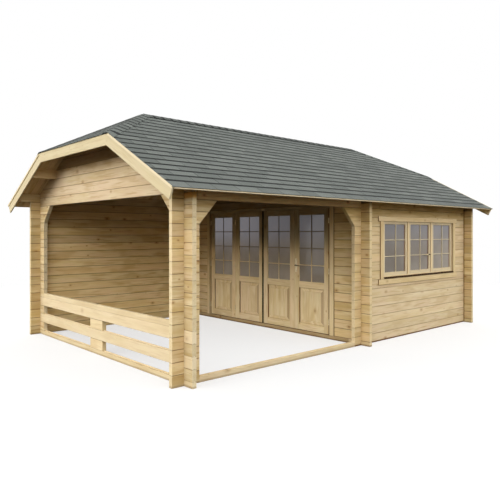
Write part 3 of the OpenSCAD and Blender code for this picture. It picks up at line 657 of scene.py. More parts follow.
def hip_boards(name, side, node, finish):
    """Roof boards of a half-hip, cut askew along both hips."""
    rows = Boards()
    half = (BOARD_X - RIDGE_X) * HIP_RATIO
    count = 2 * int(half / PLANK_PITCH)
    pitch = 2 * half / count
    for y in -half + (np.arange(count) + 0.5) * pitch:
        top_x = RIDGE_X + abs(y) / HIP_RATIO
        cut = math.copysign(1 / HIP_RATIO / math.cos(HIP), y)
        start = X * side * BOARD_X + Y * y + Z * hip_z(BOARD_T / 2, BOARD_X)
        end = X * side * top_x + Y * y + Z * hip_z(BOARD_T / 2, top_x)
        if np.linalg.norm(end - start) > SHORTEST_PLANK:
            rows.add(start, end, Y, pitch - PLANK_GAP, BOARD_T, PLANK_CHAMFER, (0.0, -cut))
    return rows.piece(name, "roof_timber", finish, (node,))


# Slips: where the eave's starts, as a share of the cover's depth, and the thickness of a verge's,
# how far it stands over the boards' underside and over the shingles' foot, and its ends' insets
EAVE_SLIP_FOOT, EAVE_SLIP_CHAMFER = 0.4, 0.0005
SLIP_T, SLIP_LOW, SLIP_RISE, SLIP_FOOT, SLIP_HEAD = 0.0033, 0.004, 0.0115, 0.014, 0.010


def eave_slip(name, side, finish):
    """A thin upright slip of wood along an eave, against the upper edges of the roof boards'
    ends and under the edge of the shingles."""
    inner, outer = BOARD_Y + BOARD_T / 2 * math.sin(SLOPE) + FIT, EAVE_Y - FIT
    low, high = slope_z(COVER_D * EAVE_SLIP_FOOT, BOARD_Y), slope_z(COVER_D, outer) - 2 * FIT
    at = Y * side * (inner + outer) / 2 + Z * (low + high) / 2
    rows = Boards().add(at - X * BOARD_X, at + X * BOARD_X, Z, high - low, outer - inner,
                        EAVE_SLIP_CHAMFER)
    return rows.piece(name, "roof_timber", finish)


def verge_slips(name, end, finish):
    """A slip of wood up each sloped verge of one end: an L-shaped profile carried up the slope,
    whose foot lies on the bargeboard under the shingles and whose thin side covers their edge."""
    inner, face, outer = BARGE_X + FIT, COVER_X + FIT, COVER_X + SLIP_T
    low, bend, high = SLIP_LOW, BOARD_T - 2 * FIT, COVER_D + SLIP_RISE
    profile = np.array([(inner, low), (outer, low), (outer, high),
                        (face, high), (face, bend), (inner, bend)])
    edges = np.linalg.norm(np.roll(profile, -1, 0) - profile, axis=1)
    hip_foot = (EAVE_Y - HIP_RUN * HIP_RATIO) / math.cos(SLOPE)
    path = np.array([SLIP_FOOT, hip_foot - SLIP_HEAD])
    rings = []
    for hand in (-1, 1):
        along = Z * math.sin(SLOPE) - Y * hand * math.cos(SLOPE)
        up = Z * math.cos(SLOPE) + Y * hand * math.sin(SLOPE)
        foot = Y * hand * EAVE_Y + Z * slope_z(0, EAVE_Y)
        turn = profile[::end * hand]
        rings.append(foot + path[:, None, None] * along + turn[:, :1] * X * end + turn[:, 1:] * up)
    around = np.concatenate([[0], np.cumsum(edges)])
    return loft(name, np.stack(rings), path, around, finish, tone=np.full(2, 0.5))


def bargeboards(name, side, node, finish):
    """Two sloped boards, square at their feet, and a level one, mitred where they meet under
    the half-hip's eave; places are worked out as y and z of the right hand and mirrored."""
    top_d = BOARD_T - FIT
    level = hip_z(top_d, BARGE_X)
    corner_y = (slope_z(top_d, 0) - level) / math.tan(SLOPE)
    inner_y = (slope_z(top_d - BARGE_H, 0) - level + BARGE_H) / math.tan(SLOPE)
    along = np.array([-math.cos(SLOPE), math.sin(SLOPE)])
    across = np.array([math.sin(SLOPE), math.cos(SLOPE)])
    foot = np.array([BOARD_Y, slope_z(top_d, BOARD_Y)]) - across * BARGE_H / 2
    mitre = np.array([(corner_y, level), (inner_y, level - BARGE_H)])
    outer_reach, inner_reach = (mitre - foot) @ along
    head = foot + along * (outer_reach + inner_reach) / 2
    x = X * side * (BARGE_X - BARGE_T / 2)
    rows = Boards()
    for hand in (-1, 1):
        start, end = (x + Y * hand * point[0] + Z * point[1] for point in (foot, head))
        lean = Y * hand * across[0] + Z * across[1]
        cut = (outer_reach - inner_reach) / BARGE_H
        rows.add(start, end, lean, BARGE_H, BARGE_T, CHAMFER, (0.0, cut))
    middle, cut = (corner_y + inner_y) / 2 - FIT, (inner_y - corner_y) / BARGE_H
    at = x + Z * (level - BARGE_H / 2)
    rows.add(at - Y * middle, at + Y * middle, Z, BARGE_H, BARGE_T, CHAMFER, (cut, -cut))
    return rows.piece(name, "joinery", finish, (node,))


TUBE_SIDES, TUBE_GIRTH = 14, 0.05


def tube(name, path, radii, finish, replaces=()):
    """A round bar along a bent path: circles square to the path, of the given radii."""
    path = np.asarray(path, float)
    step = np.gradient(path, axis=0)
    step /= np.linalg.norm(step, axis=1, keepdims=True)
    side = np.cross(step, Z + 0.01 * X)
    side /= np.linalg.norm(side, axis=1, keepdims=True)
    other = np.cross(step, side)
    turn = np.linspace(0, 2 * math.pi, TUBE_SIDES, endpoint=False)[None, :, None]
    ring = np.cos(turn) * side[:, None] + np.sin(turn) * other[:, None]
    rings = path[:, None] + ring * np.asarray(radii, float)[:, None, None]
    lengths = np.concatenate([[0], np.cumsum(np.linalg.norm(np.diff(path, axis=0), axis=1))])
    around = np.linspace(0, TUBE_GIRTH, TUBE_SIDES + 1)
    return loft(name, rings[None], lengths, around, finish, replaces=replaces, smooth=True)


# Logs

ROUGH_PINE = {
    "front_corner_logs": "x", "front_wall_logs": "x", "veranda_sill_log": "x",
    "front_beam_log": "x", "front_plate_log": "x", "back_wall_logs": "x", "back_plate_log": "x",
    "side_sill_log": "y", "railing_logs": "y", "railing_blocks": "y", "front_post_side_logs": "y",
    "back_post_side_logs": "y", "left_gable_logs": "y", "partition_sill_log": "y",
    "partition_front_logs": "y", "partition_back_logs": "y", "partition_gable_logs": "y",
    "right_wall_logs": "y", "right_gable_logs": "y",
}
BEAMS = ("side_purlins", "ridge_purlin", "hip_rafters")
BEAM_NUMBER = 40


def paint(node, material):
    """Gives a node of the source one material."""
    NODES[node].data.materials.clear()
    NODES[node].data.materials.append(material)


VERANDA = ((-3.11, FAR), (-1.85, FAR), ANY)
OVER_VERANDA = ((-3.0, -0.03), ANY, ANY)
OUTER_ENDS = (-FAR, -2.0)
# Looks of the walls. The painted zones are all painted light and shade: lighter inside and over the
# veranda and under the window, darker under the eaves and the half-hip, in corners, on the railing
# blocks' inner faces, on the sill under the door and at the top of the veranda's back wall. The
# tints of the plate, the beam, the right wall and the inner gable are painted shade too.
LOOKS = {
    "veranda_sill_log": {"joint": 0.2, "pale": 0.3, "tint": (0.97, 0.97, 1.0)},
    "side_sill_log": {"joint": 0.2, "pale": 0.4},
    "railing_logs": {"joint": 0.2, "pale": 0.5, "vary": 0.05, "tint": (0.97, 0.98, 1.03)},
    "railing_blocks": {"pale": 0.4, "vary": 0.05, "painted_zones": [
        ((0.76, 0.70, 0.58), ANY, (-0.1815, -0.1785, 0.0012), ANY)]},
    "partition_sill_log": {"foot": 0.6, "painted_zones": [((0.66, 0.61, 0.54), *VERANDA)]},
    "front_wall_logs": {
        "joint": 0.55, "pale": 0.20, "foot": 0.95, "tint": (0.995, 0.99, 1.03), "painted_zones": [
            ((1.0, 0.97, 0.86), (-FAR, 0.0), ANY, ANY),
            ((0.95, 0.92, 0.70), ANY, ANY, (1.90, FAR, 0.09)),
            ((0.96, 0.955, 0.90), (0.0, 0.5, 0.05), ANY, (0.9, FAR, 0.1)),
            ((1.01, 1.03, 1.06), (0.0, FAR), ANY, (-FAR, 0.8, 0.1))]},
    "front_post_side_logs": {"joint": 0.6, "tint": (0.91, 0.915, 0.905), "painted_zones": [
        ((1.10, 0.80, 0.42), ANY, OUTER_ENDS, (2.03, FAR, 0.02))]},
    "front_corner_logs": {"joint": 0.7, "tint": (1.01, 1.0, 0.965)},
    "left_gable_logs": {
        "joint": 0.5, "pale": 0.15, "vary": 0.12, "tint": (0.91, 0.91, 0.98), "painted_zones": [
            ((0.62, 0.56, 0.48), ANY, ANY, (19.5 * LOG_H, FAR))]},
    "back_wall_logs": {"tint": (0.93, 0.90, 0.80), "painted_zones": [
        ((1.40, 1.39, 1.38), *VERANDA), ((0.76, 0.73, 0.72), *VERANDA[:2], (1.6, FAR, 0.7))]},
    "partition_front_logs": {"tint": (1.0, 0.98, 0.90), "painted_zones": [
        ((0.94, 0.94, 0.94), ANY, OUTER_ENDS, ANY)]},
    "partition_gable_logs": {"tint": (0.45, 0.45, 0.48)},
    "right_wall_logs": {"tint": (0.92, 0.90, 0.80), "painted_zones": [
        ((0.55, 0.48, 0.40), ANY, (-2.10, -2.05), ANY),
        ((0.50, 0.47, 0.45), ANY, OUTER_ENDS, (2.06, FAR))]},
    "front_beam_log": {"tint": (0.95, 0.92, 0.72), "painted_zones": [((1.40, 1.42, 1.70), *OVER_VERANDA)]},
    "front_plate_log": {"tint": (0.91, 0.88, 0.66), "painted_zones": [
        ((1.48, 1.50, 1.85), *OVER_VERANDA), ((0.50, 0.40, 0.30), (-FAR, -3.05), ANY, ANY)]},
    "side_purlins": {"tint": (0.95, 0.92, 0.86)},
}
for number, (node, axis) in enumerate(ROUGH_PINE.items()):
    look = LOOKS.get(node, {})
    paint(node, log_pine("pine_" + node, axis, number, half_course=axis == "y", **look))
for number, node in enumerate(BEAMS, BEAM_NUMBER):
    look = LOOKS.get(node, {})
    paint(node, log_pine("pine_" + node, "x", number, coursed=False, **look))

# Roof

board_pine = planed_pine("roof_board_pine", (0.92, 0.89, 0.86))
trim_pine = planed_pine("trim_pine", pale=0.25)
barge_pine = planed_pine("barge_pine", (0.88, 0.92, 0.96), 0.5)
pale_pine = planed_pine("pale_pine", (0.98, 1.01, 1.10), 0.9)
felt, cap_felt = shingle_felt("shingle_felt", 1.0), shingle_felt("ridge_felt", 0.66)
for name, side in (("front", -1), ("back", 1)):
    slope_boards(name + "_roof_planks", side, name + "_roof_boards", board_pine)
    shingle_tabs(name + "_shingle_tabs", RoofPlane(side, False), name + "_shingles", felt)
    eave_slip(name + "_eave_slip", side, pale_pine)
for name, side in (("left", -1), ("right", 1)):
    hip_boards(name + "_hip_planks", side, name + "_hip_boards", board_pine)
    shingle_tabs(name + "_hip_tabs", RoofPlane(side, True), name + "_hip_shingles", felt)
    bargeboards(name + "_barge_planks", side, name + "_bargeboards", barge_pine)
    verge_slips(name + "_verge_slips", side, pale_pine)

ridge_ends = [np.array([side * RIDGE_X, 0, RIDGE_Z]) for side in (-1, 1)]
cap_tabs("ridge_cap_tabs", "ridge_cap", cap_felt, [(*ridge_ends, (SLOPE, SLOPE))])
hips = []
hip_foot_y, hip_foot_z = HIP_RUN * HIP_RATIO, RIDGE_Z - HIP_RUN * math.tan(HIP)
for end in (-1, 1):
    for hand in (-1, 1):
        foot = np.array([end * COVER_X, hand * hip_foot_y, hip_foot_z])
        head = np.array([end * RIDGE_X, 0, RIDGE_Z])
        across = np.cross(head - foot, Z)
        on_slope = across[0] * end < 0
        tilts = (HALF_HIP_TILT, SLOPE_TILT) if on_slope else (SLOPE_TILT, HALF_HIP_TILT)
        hips.append((foot, head, tilts))
cap_tabs("hip_cap_tabs", "hip_caps", shingle_felt("hip_felt", 1.0, 0.60), hips)

# Glass and fittings

paint("door_glass", pane_glass("door_pane", 1.0, 0.48))
paint("window_glass", pane_glass("window_pane", 0.12, painted_light_fade=(0.6, 2.6, 0.80, 1.20)))
# The zinc's pale colour is partly its own and partly a painted highlight on the fittings
steel = metal("yellow_zinc", srgb(226, 208, 168), 0.50, 0.2, 0.15)
paint("door_fittings", steel)

# Folding door

STILE_W, TOP_RAIL_H, FOOT_RAIL_H, MID_RAIL_Z, MID_RAIL_H = 0.100, 0.088, 0.105, 0.765, 0.097
PANE_T, BAR_W, BAR_T, BEAD_W, BEAD_SET = 0.006, 0.014, 0.013, 0.006, 0.006
DOOR_PANES, WINDOW_PANES = 4, 3
DOOR_LEAVES = (1, 2, 3, 4)
# The rectangles through half a panel's thickness, from its field over a bevel to its thin edge:
# how far each lies inside the opening, across and up, and how far out from the panel's middle
PANEL_INSET = np.array([[0.072, 0.062], [0.069, 0.059], [0.066, 0.056],
                        [0.024, 0.018], [0.018, 0.010], [0, 0]])
PANEL_OUT = np.array([0.0190, 0.0185, 0.0120, 0.0080, 0.0035, 0.0030])
# Painted shade of the steps between them, its share on each of the four sides, and the bevel's own
# painted shade on one
PANEL_SHADE = np.array([0.0, -0.45, 0.0, -0.2, -0.90])
SIDE_SHARE = np.array([0.30, 1.11, 0.30, 0.45])
BEVEL_STEP, BEVEL_SIDE, BEVEL_SHADE = 2, 3, -0.42
# painted shade that darkens the door's pine, and its bars more, towards the top
door_pine = planed_pine("door_pine", pale=0.12, shade=((0.57, 0.60, 0.64), 1.25, 1.62))
bar_pine = planed_pine("bar_pine", pale=0.3, shade=((0.30, 0.30, 0.32), 1.12, 1.45))


def glazing(rows, bars, centre, right, width, height, lines, half_t, bar_w=BAR_W, shift=0.0):
    """Bars on both faces of a pane, an upright one and level ones on its two sides, and in rows a
    bead round it up to the face of its sash."""
    out = np.cross(right, Z)
    for face in (-1, 1):
        off = out * face * (PANE_T / 2 + BAR_T / 2 + FIT)
        middle, half = centre + right * shift + off, Z * height / 2
        bars.add(middle - half, middle + half, right, bar_w, BAR_T, BAR_CHAMFER)
        for r in (np.arange(1, lines) / lines - 0.5) * height:
            for side in (-1, 1):
                inner = middle + right * side * bar_w / 2 + Z * r
                outer = centre + right * side * width / 2 + Z * r + off
                low, high = np.minimum(inner, outer), np.maximum(inner, outer)
                bars.add(low, high, Z, bar_w, BAR_T, BAR_CHAMFER)
        depth = half_t - PANE_T / 2 - BEAD_SET
        edge = out * face * (PANE_T / 2 + FIT + depth / 2)
        rows.frame(centre + edge, right, Z, width - 2 * BEAD_W, height - 2 * BEAD_W, BEAD_W,
                   depth, BAR_CHAMFER)


def raised_panel(name, centre, width, height, finish):
    """Rectangles stacked through the panel's thickness, from a raised field over a bevel to a thin
    edge and back; its steps and one side of the bevel get a painted shade."""
    wear_and_shade = PANEL_SHADE[:, None] * SIDE_SHARE
    wear_and_shade[BEVEL_STEP, BEVEL_SIDE] += BEVEL_SHADE
    wear_and_shade = np.concatenate([wear_and_shade, 0 * wear_and_shade[:1], wear_and_shade[::-1]])
    inset = np.concatenate([PANEL_INSET, PANEL_INSET[::-1]])
    out = np.concatenate([-PANEL_OUT, PANEL_OUT[::-1]])
    size = np.array([width, height]) / 2
    corners = np.array([[-1, -1], [1, -1], [1, 1], [-1, 1]])
    flat = (size - inset)[:, None] * corners
    rings = centre + out[:, None, None] * X + flat[..., :1] * Y + flat[..., 1:] * Z
    around = np.array([0, width, width, 2 * width, 2 * width])
    return loft(name, rings[None], out + size[0], around, finish, face_axes=(Z, Y),
                strips=wear_and_shade)


for number in DOOR_LEAVES:
    node = f"door_leaf_{number}"
    low, high = (np.array(corner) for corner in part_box(node))
    middle, thick = (low + high) / 2, high[0] - low[0]
    leaf, bars = Boards(), Boards()
    for y in (low[1] + STILE_W / 2, high[1] - STILE_W / 2):
        at = X * middle[0] + Y * y
        leaf.add(at + Z * low[2], at + Z * high[2], Y, STILE_W, thick)
    for z, height in ((low[2] + FOOT_RAIL_H / 2, FOOT_RAIL_H),
                      (MID_RAIL_Z + MID_RAIL_H / 2, MID_RAIL_H),
                      (high[2] - TOP_RAIL_H / 2, TOP_RAIL_H)):
        at = X * middle[0] + Z * z
        leaf.add(at + Y * (low[1] + STILE_W), at + Y * (high[1] - STILE_W), Z, height, thick)
    open_w = high[1] - low[1] - 2 * STILE_W
    axis = X * middle[0] + Y * middle[1]
    glass_low, glass_high = MID_RAIL_Z + MID_RAIL_H, high[2] - TOP_RAIL_H
    glazing(leaf, bars, axis + Z * (glass_low + glass_high) / 2, -Y, open_w, glass_high - glass_low,
            DOOR_PANES, thick / 2)
    leaf.piece(f"door_leaf_{number}_joinery", "joinery", door_pine, (node,))
    bars.piece(f"door_leaf_{number}_bars", "joinery", bar_pine)
    panel_low = low[2] + FOOT_RAIL_H
    raised_panel(f"door_panel_{number}", axis + Z * (panel_low + MID_RAIL_Z) / 2, open_w,
                 MID_RAIL_Z - panel_low, door_pine)

DOOR_Y, DOOR_W, FRAME_W, DOOR_FOOT = 0.020, 2.988, 0.048, LOG_H / 2
DOOR_HEAD_COURSE = 15.5
DOOR_HEAD = DOOR_HEAD_COURSE * LOG_H - FIT
DOOR_TRIM_W, TRIM_T, TRIM_LAP = 0.082, 0.018, 0.026
casing = Boards()
for side in (-1, 1):
    at = Y * (DOOR_Y + side * (DOOR_W + FRAME_W) / 2)
    casing.add(at + Z * DOOR_FOOT, at + Z * (DOOR_HEAD - FRAME_W - FIT), Y, FRAME_W, LOG_T)
head = Y * (DOOR_W / 2 + FRAME_W)
at = Y * DOOR_Y + Z * (DOOR_HEAD - FRAME_W / 2)
casing.add(at - head, at + head, Z, FRAME_W, LOG_T)
casing.piece("door_casing", "joinery", door_pine, ("door_frame",))
cover = Boards()
for face in (-1, 1):
    for side in (-1, 1):
        at = X * face * (LOG_T / 2 + FIT + TRIM_T / 2)
        at = at + Y * (DOOR_Y + side * (DOOR_W / 2 + FRAME_W - TRIM_LAP + DOOR_TRIM_W / 2))
        cover.add(at + Z * DOOR_FOOT, at + Z * DOOR_HEAD, Y, DOOR_TRIM_W, TRIM_T, BAR_CHAMFER)
# the narrow sides of the door's cover boards get a painted shade
cover.piece("door_cover_boards", "joinery", trim_pine, ("door_trim",), edges=-0.75)

# Rubber strips, dark so that they also stand for the shade in the gaps, partly painted shade:
# black ones over the gap where the two pairs of leaves meet, and brown ones beside both jambs
SEAL_W, SEAL_T, JAMB_LAP = 0.022, 0.003, 0.002
MEETING_W, MEETING_SHIFT = 0.036, 0.007
RUBBER = {"scale": 30.0, "onset": 0.5, "rough": 0.7}
black_rubber_and_shade = worn_skin("black_rubber_and_shade", srgb(6, 5, 4), srgb(16, 14, 11), **RUBBER)
brown_rubber_and_shade = worn_skin("brown_rubber_and_shade", srgb(108, 60, 32), srgb(130, 84, 50), **RUBBER)
first, second, third, last = (np.array(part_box(f"door_leaf_{number}")) for number in DOOR_LEAVES)
seal, jamb_seal = Boards(), Boards()
for face, side in ((third[0, 0], -1), (third[1, 0], 1)):
    x = face + side * (SEAL_T / 2 + FIT)
    meeting_y = (third[1, 1] + second[0, 1]) / 2 + MEETING_SHIFT
    for strips, y, width in ((seal, meeting_y, MEETING_W),
                             (jamb_seal, first[1, 1] - JAMB_LAP, SEAL_W / 2),
                             (jamb_seal, last[0, 1] + JAMB_LAP, SEAL_W / 2)):
        strips.add((x, y, third[0, 2]), (x, y, third[1, 2]), Y, width, SEAL_T, STRIP_CHAMFER)
seal.piece("door_meeting_seals", "fittings", black_rubber_and_shade)
jamb_seal.piece("door_jamb_seals", "fittings", brown_rubber_and_shade)

# Window

WINDOW_COURSES, BAYS = 7, 3
WINDOW_X, WINDOW_W = 1.615, 2.230
WINDOW_Z = WINDOW_H = WINDOW_COURSES * LOG_H
MEMBER_W, SASH_W, SASH_T, SASH_EASE = 0.040, 0.050, 0.044, 0.014
PANE_BAR_W, PANE_BAR_SHIFT = 0.010, 0.022
SIDE_W, HEAD_H, SILL_H, EAR = 0.080, 0.080, 0.086, 0.050
FULL_W = WINDOW_W - 2 * FIT
BAY_W = (FULL_W - (BAYS + 1) * MEMBER_W) / BAYS
front = -Y * WALL_Y
first_x = WINDOW_X - FULL_W / 2
casing = Boards()
for z in (WINDOW_Z + MEMBER_W / 2, WINDOW_Z + WINDOW_H - FIT - MEMBER_W / 2):
    at = front + Z * z
    casing.add(at + X * first_x, at + X * (first_x + FULL_W), Z, MEMBER_W, LOG_T)
for number in range(BAYS + 1):
    at = front + X * (first_x + MEMBER_W / 2 + number * (BAY_W + MEMBER_W))
    foot, head = WINDOW_Z + MEMBER_W + FIT, WINDOW_Z + WINDOW_H - MEMBER_W - 2 * FIT
    casing.add(at + Z * foot, at + Z * head, X, MEMBER_W, LOG_T)
casing.piece("window_casing", "joinery", trim_pine, ("window_frame",))
sashes, bars, seal = Boards(), Boards(), Boards()
low_z, high_z = WINDOW_Z + MEMBER_W + FIT, WINDOW_Z + WINDOW_H - MEMBER_W - 3 * FIT
for number in range(BAYS):
    mid_x = first_x + MEMBER_W + BAY_W / 2 + number * (BAY_W + MEMBER_W)
    wide = BAY_W - 2 * FIT
    for inner, outer in ((SASH_W - wide / 2, -wide / 2),
                         (wide / 2 - SASH_W, wide / 2 - SASH_EASE)):
        at = front + X * (mid_x + (inner + outer) / 2)
        sashes.add(at + Z * low_z, at + Z * high_z, X, abs(outer - inner), SASH_T)
    # dark brown rubber in each sash's gap and beside one edge of each pane, which also stands for
    # the shade there
    at = front + X * (mid_x + wide / 2 - SASH_EASE / 2)
    seal.add(at + Z * low_z, at + Z * high_z, X, SASH_EASE - 2 * FIT, SASH_T - 2 * SEAL_T)
    for face in (-1, 1):
        at = front + X * (mid_x + wide / 2 - SASH_W - BEAD_W - SEAL_W / 4)
        at = at + Y * face * (PANE_T / 2 + FIT + SEAL_T / 2)
        seal.add(at + Z * (low_z + SASH_W), at + Z * (high_z - SASH_W), X, SEAL_W / 2, SEAL_T,
                 STRIP_CHAMFER)
    for z in (low_z + SASH_W / 2, high_z - SASH_W / 2):
        at, half = front + X * mid_x + Z * z, X * (wide / 2 - SASH_W)
        sashes.add(at - half, at + half, Z, SASH_W, SASH_T)
    at = front + X * mid_x + Z * (low_z + high_z) / 2
    glazing(sashes, bars, at, X, wide - 2 * SASH_W, high_z - low_z - 2 * SASH_W, WINDOW_PANES,
            SASH_T / 2, PANE_BAR_W, PANE_BAR_SHIFT)
sash_pine = planed_pine("sash_pine", (0.87, 0.885, 0.94), 0.65)
sashes.piece("window_sash_joinery", "joinery", sash_pine, ("window_sashes",))
bars.piece("window_bars", "joinery", pale_pine)
seal.piece("window_seals", "fittings", brown_rubber_and_shade)
cover = Boards()
inner_x = WINDOW_W / 2 - FIT - TRIM_LAP
outer_x = inner_x + SIDE_W + EAR
head_z = WINDOW_Z + WINDOW_H - FIT - HEAD_H + TRIM_LAP
for face in (-1, 1):
    at = front + X * WINDOW_X + Y * face * (LOG_T / 2 + FIT + TRIM_T / 2)
    for side in (-1, 1):
        post = at + X * side * (inner_x + SIDE_W / 2)
        cover.add(post + Z * (WINDOW_Z + FIT), post + Z * (head_z - FIT), X, SIDE_W, TRIM_T,
                  BAR_CHAMFER)
    for z, height in ((head_z + HEAD_H / 2, HEAD_H), (WINDOW_Z - SILL_H / 2, SILL_H)):
        cover.add(at - X * outer_x + Z * z, at + X * outer_x + Z * z, Z, height, TRIM_T,
                  BAR_CHAMFER)
# COVER_SHADE is a painted shade over the cover boards below the window's head; their narrow sides
# and ends get a painted shade too
COVER_SHADE = ((0.90, 0.905, 0.86), 1.82, 1.78)
cover_pine = planed_pine("cover_pine", (1.03, 1.01, 0.99), 0.35, COVER_SHADE)
cover.piece("window_cover_boards", "joinery", cover_pine, ("window_trim",), edges=-0.6, ends=-0.75)

# A folded drip of dark metal over the foot of the window's frame: its profile runs out from the wall
# along the underside, down the inside of the fold, and back to the wall over the outside
DRIP_PROFILE = np.array([
    (0.0, 0.026), (-0.001, 0.0265), (-0.0248, 0.0188), (-0.0265, 0.002),
    (-0.028, 0.002), (-0.026, 0.020), (-0.0012, 0.029), (0.0, 0.028)])
DRIP_EASE, DRIP_GIRTH = 0.001, 0.08
dark_paint = worn_skin("dark_paint", srgb(58, 40, 22), srgb(84, 62, 38), 22.0, 0.45, 0.50)
wall_face = -WALL_Y - LOG_T / 2
ends = WINDOW_X + np.array([-1, 1]) * (inner_x - DRIP_EASE)
rings = (ends[:, None, None] * X + (wall_face - FIT + DRIP_PROFILE[:, :1]) * Y
         + (WINDOW_Z + DRIP_PROFILE[:, 1:]) * Z)
around = np.linspace(0, DRIP_GIRTH, len(DRIP_PROFILE) + 1)
loft("window_drip", rings[None], ends, around, dark_paint)

# Lever handle: a bar bent out of its plate and along it, thinner towards its rounded end
SPINDLE_IN, SPINDLE_Z = 0.017, 1.125
LEVER_OUT, BEND_R, ARM_START, ARM_END, ARM_SAG = 0.030, 0.012, 0.020, 0.108, 0.006
LEVER_R, ARM_END_R = 0.0085, 0.0072
PLATE_W, PLATE_T, PLATE_IN = 0.034, 0.003, 0.0018
low, high = (np.array(corner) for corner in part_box("door_handle"))
spindle = np.array([high[0], high[1] - SPINDLE_IN, SPINDLE_Z])
bend, share = np.linspace(0, math.pi / 2, 7), np.linspace(0, 1, 9)
neck = np.array([[-0.002, 0, 0], [-0.026, 0, 0]])
curve = np.stack([-LEVER_OUT - BEND_R * np.sin(bend), -BEND_R * (1 - np.cos(bend)), 0 * bend], 1)
arm = np.stack([np.full(share.size, -LEVER_OUT - BEND_R),
                -ARM_START - share * (ARM_END - ARM_START), -ARM_SAG * share ** 2], 1)
tip = arm[-1] + np.array([[0, -0.004, 0], [0, -0.0062, 0]])
lever = np.concatenate([neck, curve, arm, tip]) + spindle
girth = np.concatenate([[0.011, 0.009], np.full(bend.size, LEVER_R),
                        np.linspace(LEVER_R, ARM_END_R, share.size), [0.0052, 0.001]])
bronze = metal("dark_bronze", srgb(84, 66, 44), 0.35, 0.2, 0.6)
tube("door_lever", lever, girth, bronze, ("door_handle",))
at = X * (high[0] - PLATE_IN) + Y * spindle[1]
plate = Boards().add(at + Z * low[2], at + Z * high[2], Y, PLATE_W, PLATE_T, STRIP_CHAMFER)
# The plate's near-white colour is partly brass and partly a painted highlight
painted_highlight_brass = metal("painted_highlight_brass", srgb(250, 238, 206), 0.3, 0.2, 0.1)
plate.piece("door_handle_plate", "handle", painted_highlight_brass)

# Window catch: a dark bar that comes out of the frame and bends to the left, with a pale grip on it
CATCH_X, CATCH_Z, CATCH_SET, CATCH_OUT = 1.900, 1.290, 0.004, 0.026
catch = np.array([CATCH_X, wall_face + CATCH_SET, CATCH_Z])
stem = np.array([[0, 0, 0], [0, -0.018, 0], [-0.004, -0.024, 0]])
stem_arm = np.array([-0.02, -0.07, -0.074])[:, None] * X - CATCH_OUT * Y
grip = np.array([-0.072, -0.078, -0.140, -0.150])[:, None] * X - CATCH_OUT * Y
tube("window_catch", catch + np.concatenate([stem, stem_arm]),
     [0.010, 0.010, 0.010, 0.0095, 0.009, 0.001], dark_paint)
tube("window_catch_grip", catch + grip, [0.006, 0.011, 0.011, 0.003], steel)

# Stage

def seen_rays(finish):
    """1 for rays from the eye, also by way of a gloss or a pane, and 0 for those of the light."""
    path = finish.node("ShaderNodeLightPath")
    return finish.math("MAXIMUM", finish.math("MAXIMUM", path, path.out("Is Glossy Ray")),
                       path.out("Is Transmission Ray"))


# Light of the dome and the least of it, and of the ground: its paleness to the eye and to the light,
# the share of it that glows and the glow's strength, and where it turns plain white
DOME, DOME_LEAST = 3.55, 0.1
FLOOR_PALE, FLOOR_BOUNCE, FLOOR_GLOW, FLOOR_LIGHT = 0.82, 0.03, 0.55, 1.12
FLOOR_NEAR, FLOOR_FAR, FLOOR_HALF = 6.0, 11.0, 60
WHITE = (1, 1, 1, 1)


def floor_white():
    """White ground: it glows white to the eye with a faint shadow on it, gives the object little
    light back, and is plain white far away."""
    finish = Finish("floor_white")
    px, py, _ = finish.place()
    far = finish.step((px * px + py * py) ** 0.5, FLOOR_NEAR, FLOOR_FAR)
    eye = seen_rays(finish)
    pale = finish.vector(*[eye * (FLOOR_PALE - FLOOR_BOUNCE) + FLOOR_BOUNCE] * 3)
    matt = finish.node("ShaderNodeBsdfDiffuse", None, {"Color": pale})
    glow, plain = (finish.node("ShaderNodeEmission", None, {"Color": WHITE, "Strength": strength})
                   for strength in (FLOOR_LIGHT, 1.0))
    near = finish.node("ShaderNodeMixShader", None, {0: eye * FLOOR_GLOW, 1: matt, 2: glow})
    shader = finish.node("ShaderNodeMixShader", None, {0: eye * far, 1: near, 2: plain})
    finish.node("ShaderNodeOutputMaterial", None, {"Surface": shader})
    return finish.material


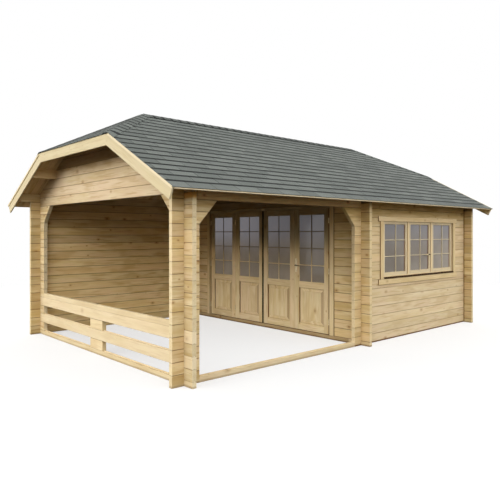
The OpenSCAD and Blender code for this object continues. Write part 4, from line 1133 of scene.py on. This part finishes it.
def studio_dome():
    """A dome that is dim and warm at the horizon, pale and brightest a little above it and dimmer
    to the top, and plain white to the eye."""
    world = bpy.data.worlds.new("studio")
    bpy.context.scene.world = world
    finish = Finish("studio", world)
    rise = finish.split(finish.coords("Generated"))[2]
    level = finish.math("MAXIMUM", 1.0 - rise * rise, 0.0) ** 1.5
    level = level * (0.12 + finish.step(rise, 0.05, 0.34) * 0.88)
    tint = finish.mix((1.0, 0.84, 0.56, 1), WHITE, finish.step(rise, 0.0, 0.36))
    light = finish.node("ShaderNodeBackground", None, {
        "Color": tint, "Strength": level * DOME + DOME_LEAST})
    white = finish.node("ShaderNodeBackground", None, {"Color": WHITE, "Strength": 1.0})
    shader = finish.node("ShaderNodeMixShader", None, {0: seen_rays(finish), 1: light, 2: white})
    finish.node("ShaderNodeOutputWorld", None, {"Surface": shader})


def lamp(name, direction, strength, angle, colour):
    """A soft sun that shines along a direction."""
    light = bpy.data.lights.new(name, "SUN")
    light.energy, light.angle, light.color = strength, math.radians(angle), colour
    made = bpy.data.objects.new(name, light)
    bpy.context.scene.collection.objects.link(made)
    made.rotation_euler = Vector(direction).to_track_quat("-Z", "Y").to_euler()


ground = bpy.data.meshes.new("ground")
corners = [(x * FLOOR_HALF, y * FLOOR_HALF, 0) for x, y in ((-1, -1), (1, -1), (1, 1), (-1, 1))]
ground.from_pydata(corners, [], [(0, 1, 2, 3)])
ground.materials.append(floor_white())
floor = bpy.data.objects.new("ground", ground)
bpy.context.scene.collection.objects.link(floor)
studio_dome()
lamp("key", (0.94, -0.09, -0.34), 0.90, 30, (1.0, 0.98, 0.95))

# Camera: level, with its frame moved down instead of a tilt
EYE, YAW, FARTHEST = (-6.525, -6.856, 1.650), 48.04, 200
SENSOR, LENS, SHIFT = 36.0, 38.59, -0.0332
camera = bpy.data.cameras.new("camera")
camera.sensor_width, camera.lens, camera.shift_y = SENSOR, LENS, SHIFT
camera.clip_end = FARTHEST
eye = bpy.data.objects.new("camera", camera)
bpy.context.scene.collection.objects.link(eye)
eye.location = EYE
eye.rotation_euler = (math.radians(90), 0, math.radians(YAW - 90))
bpy.context.scene.camera = eye
bpy.context.scene.view_settings.view_transform = "Standard"
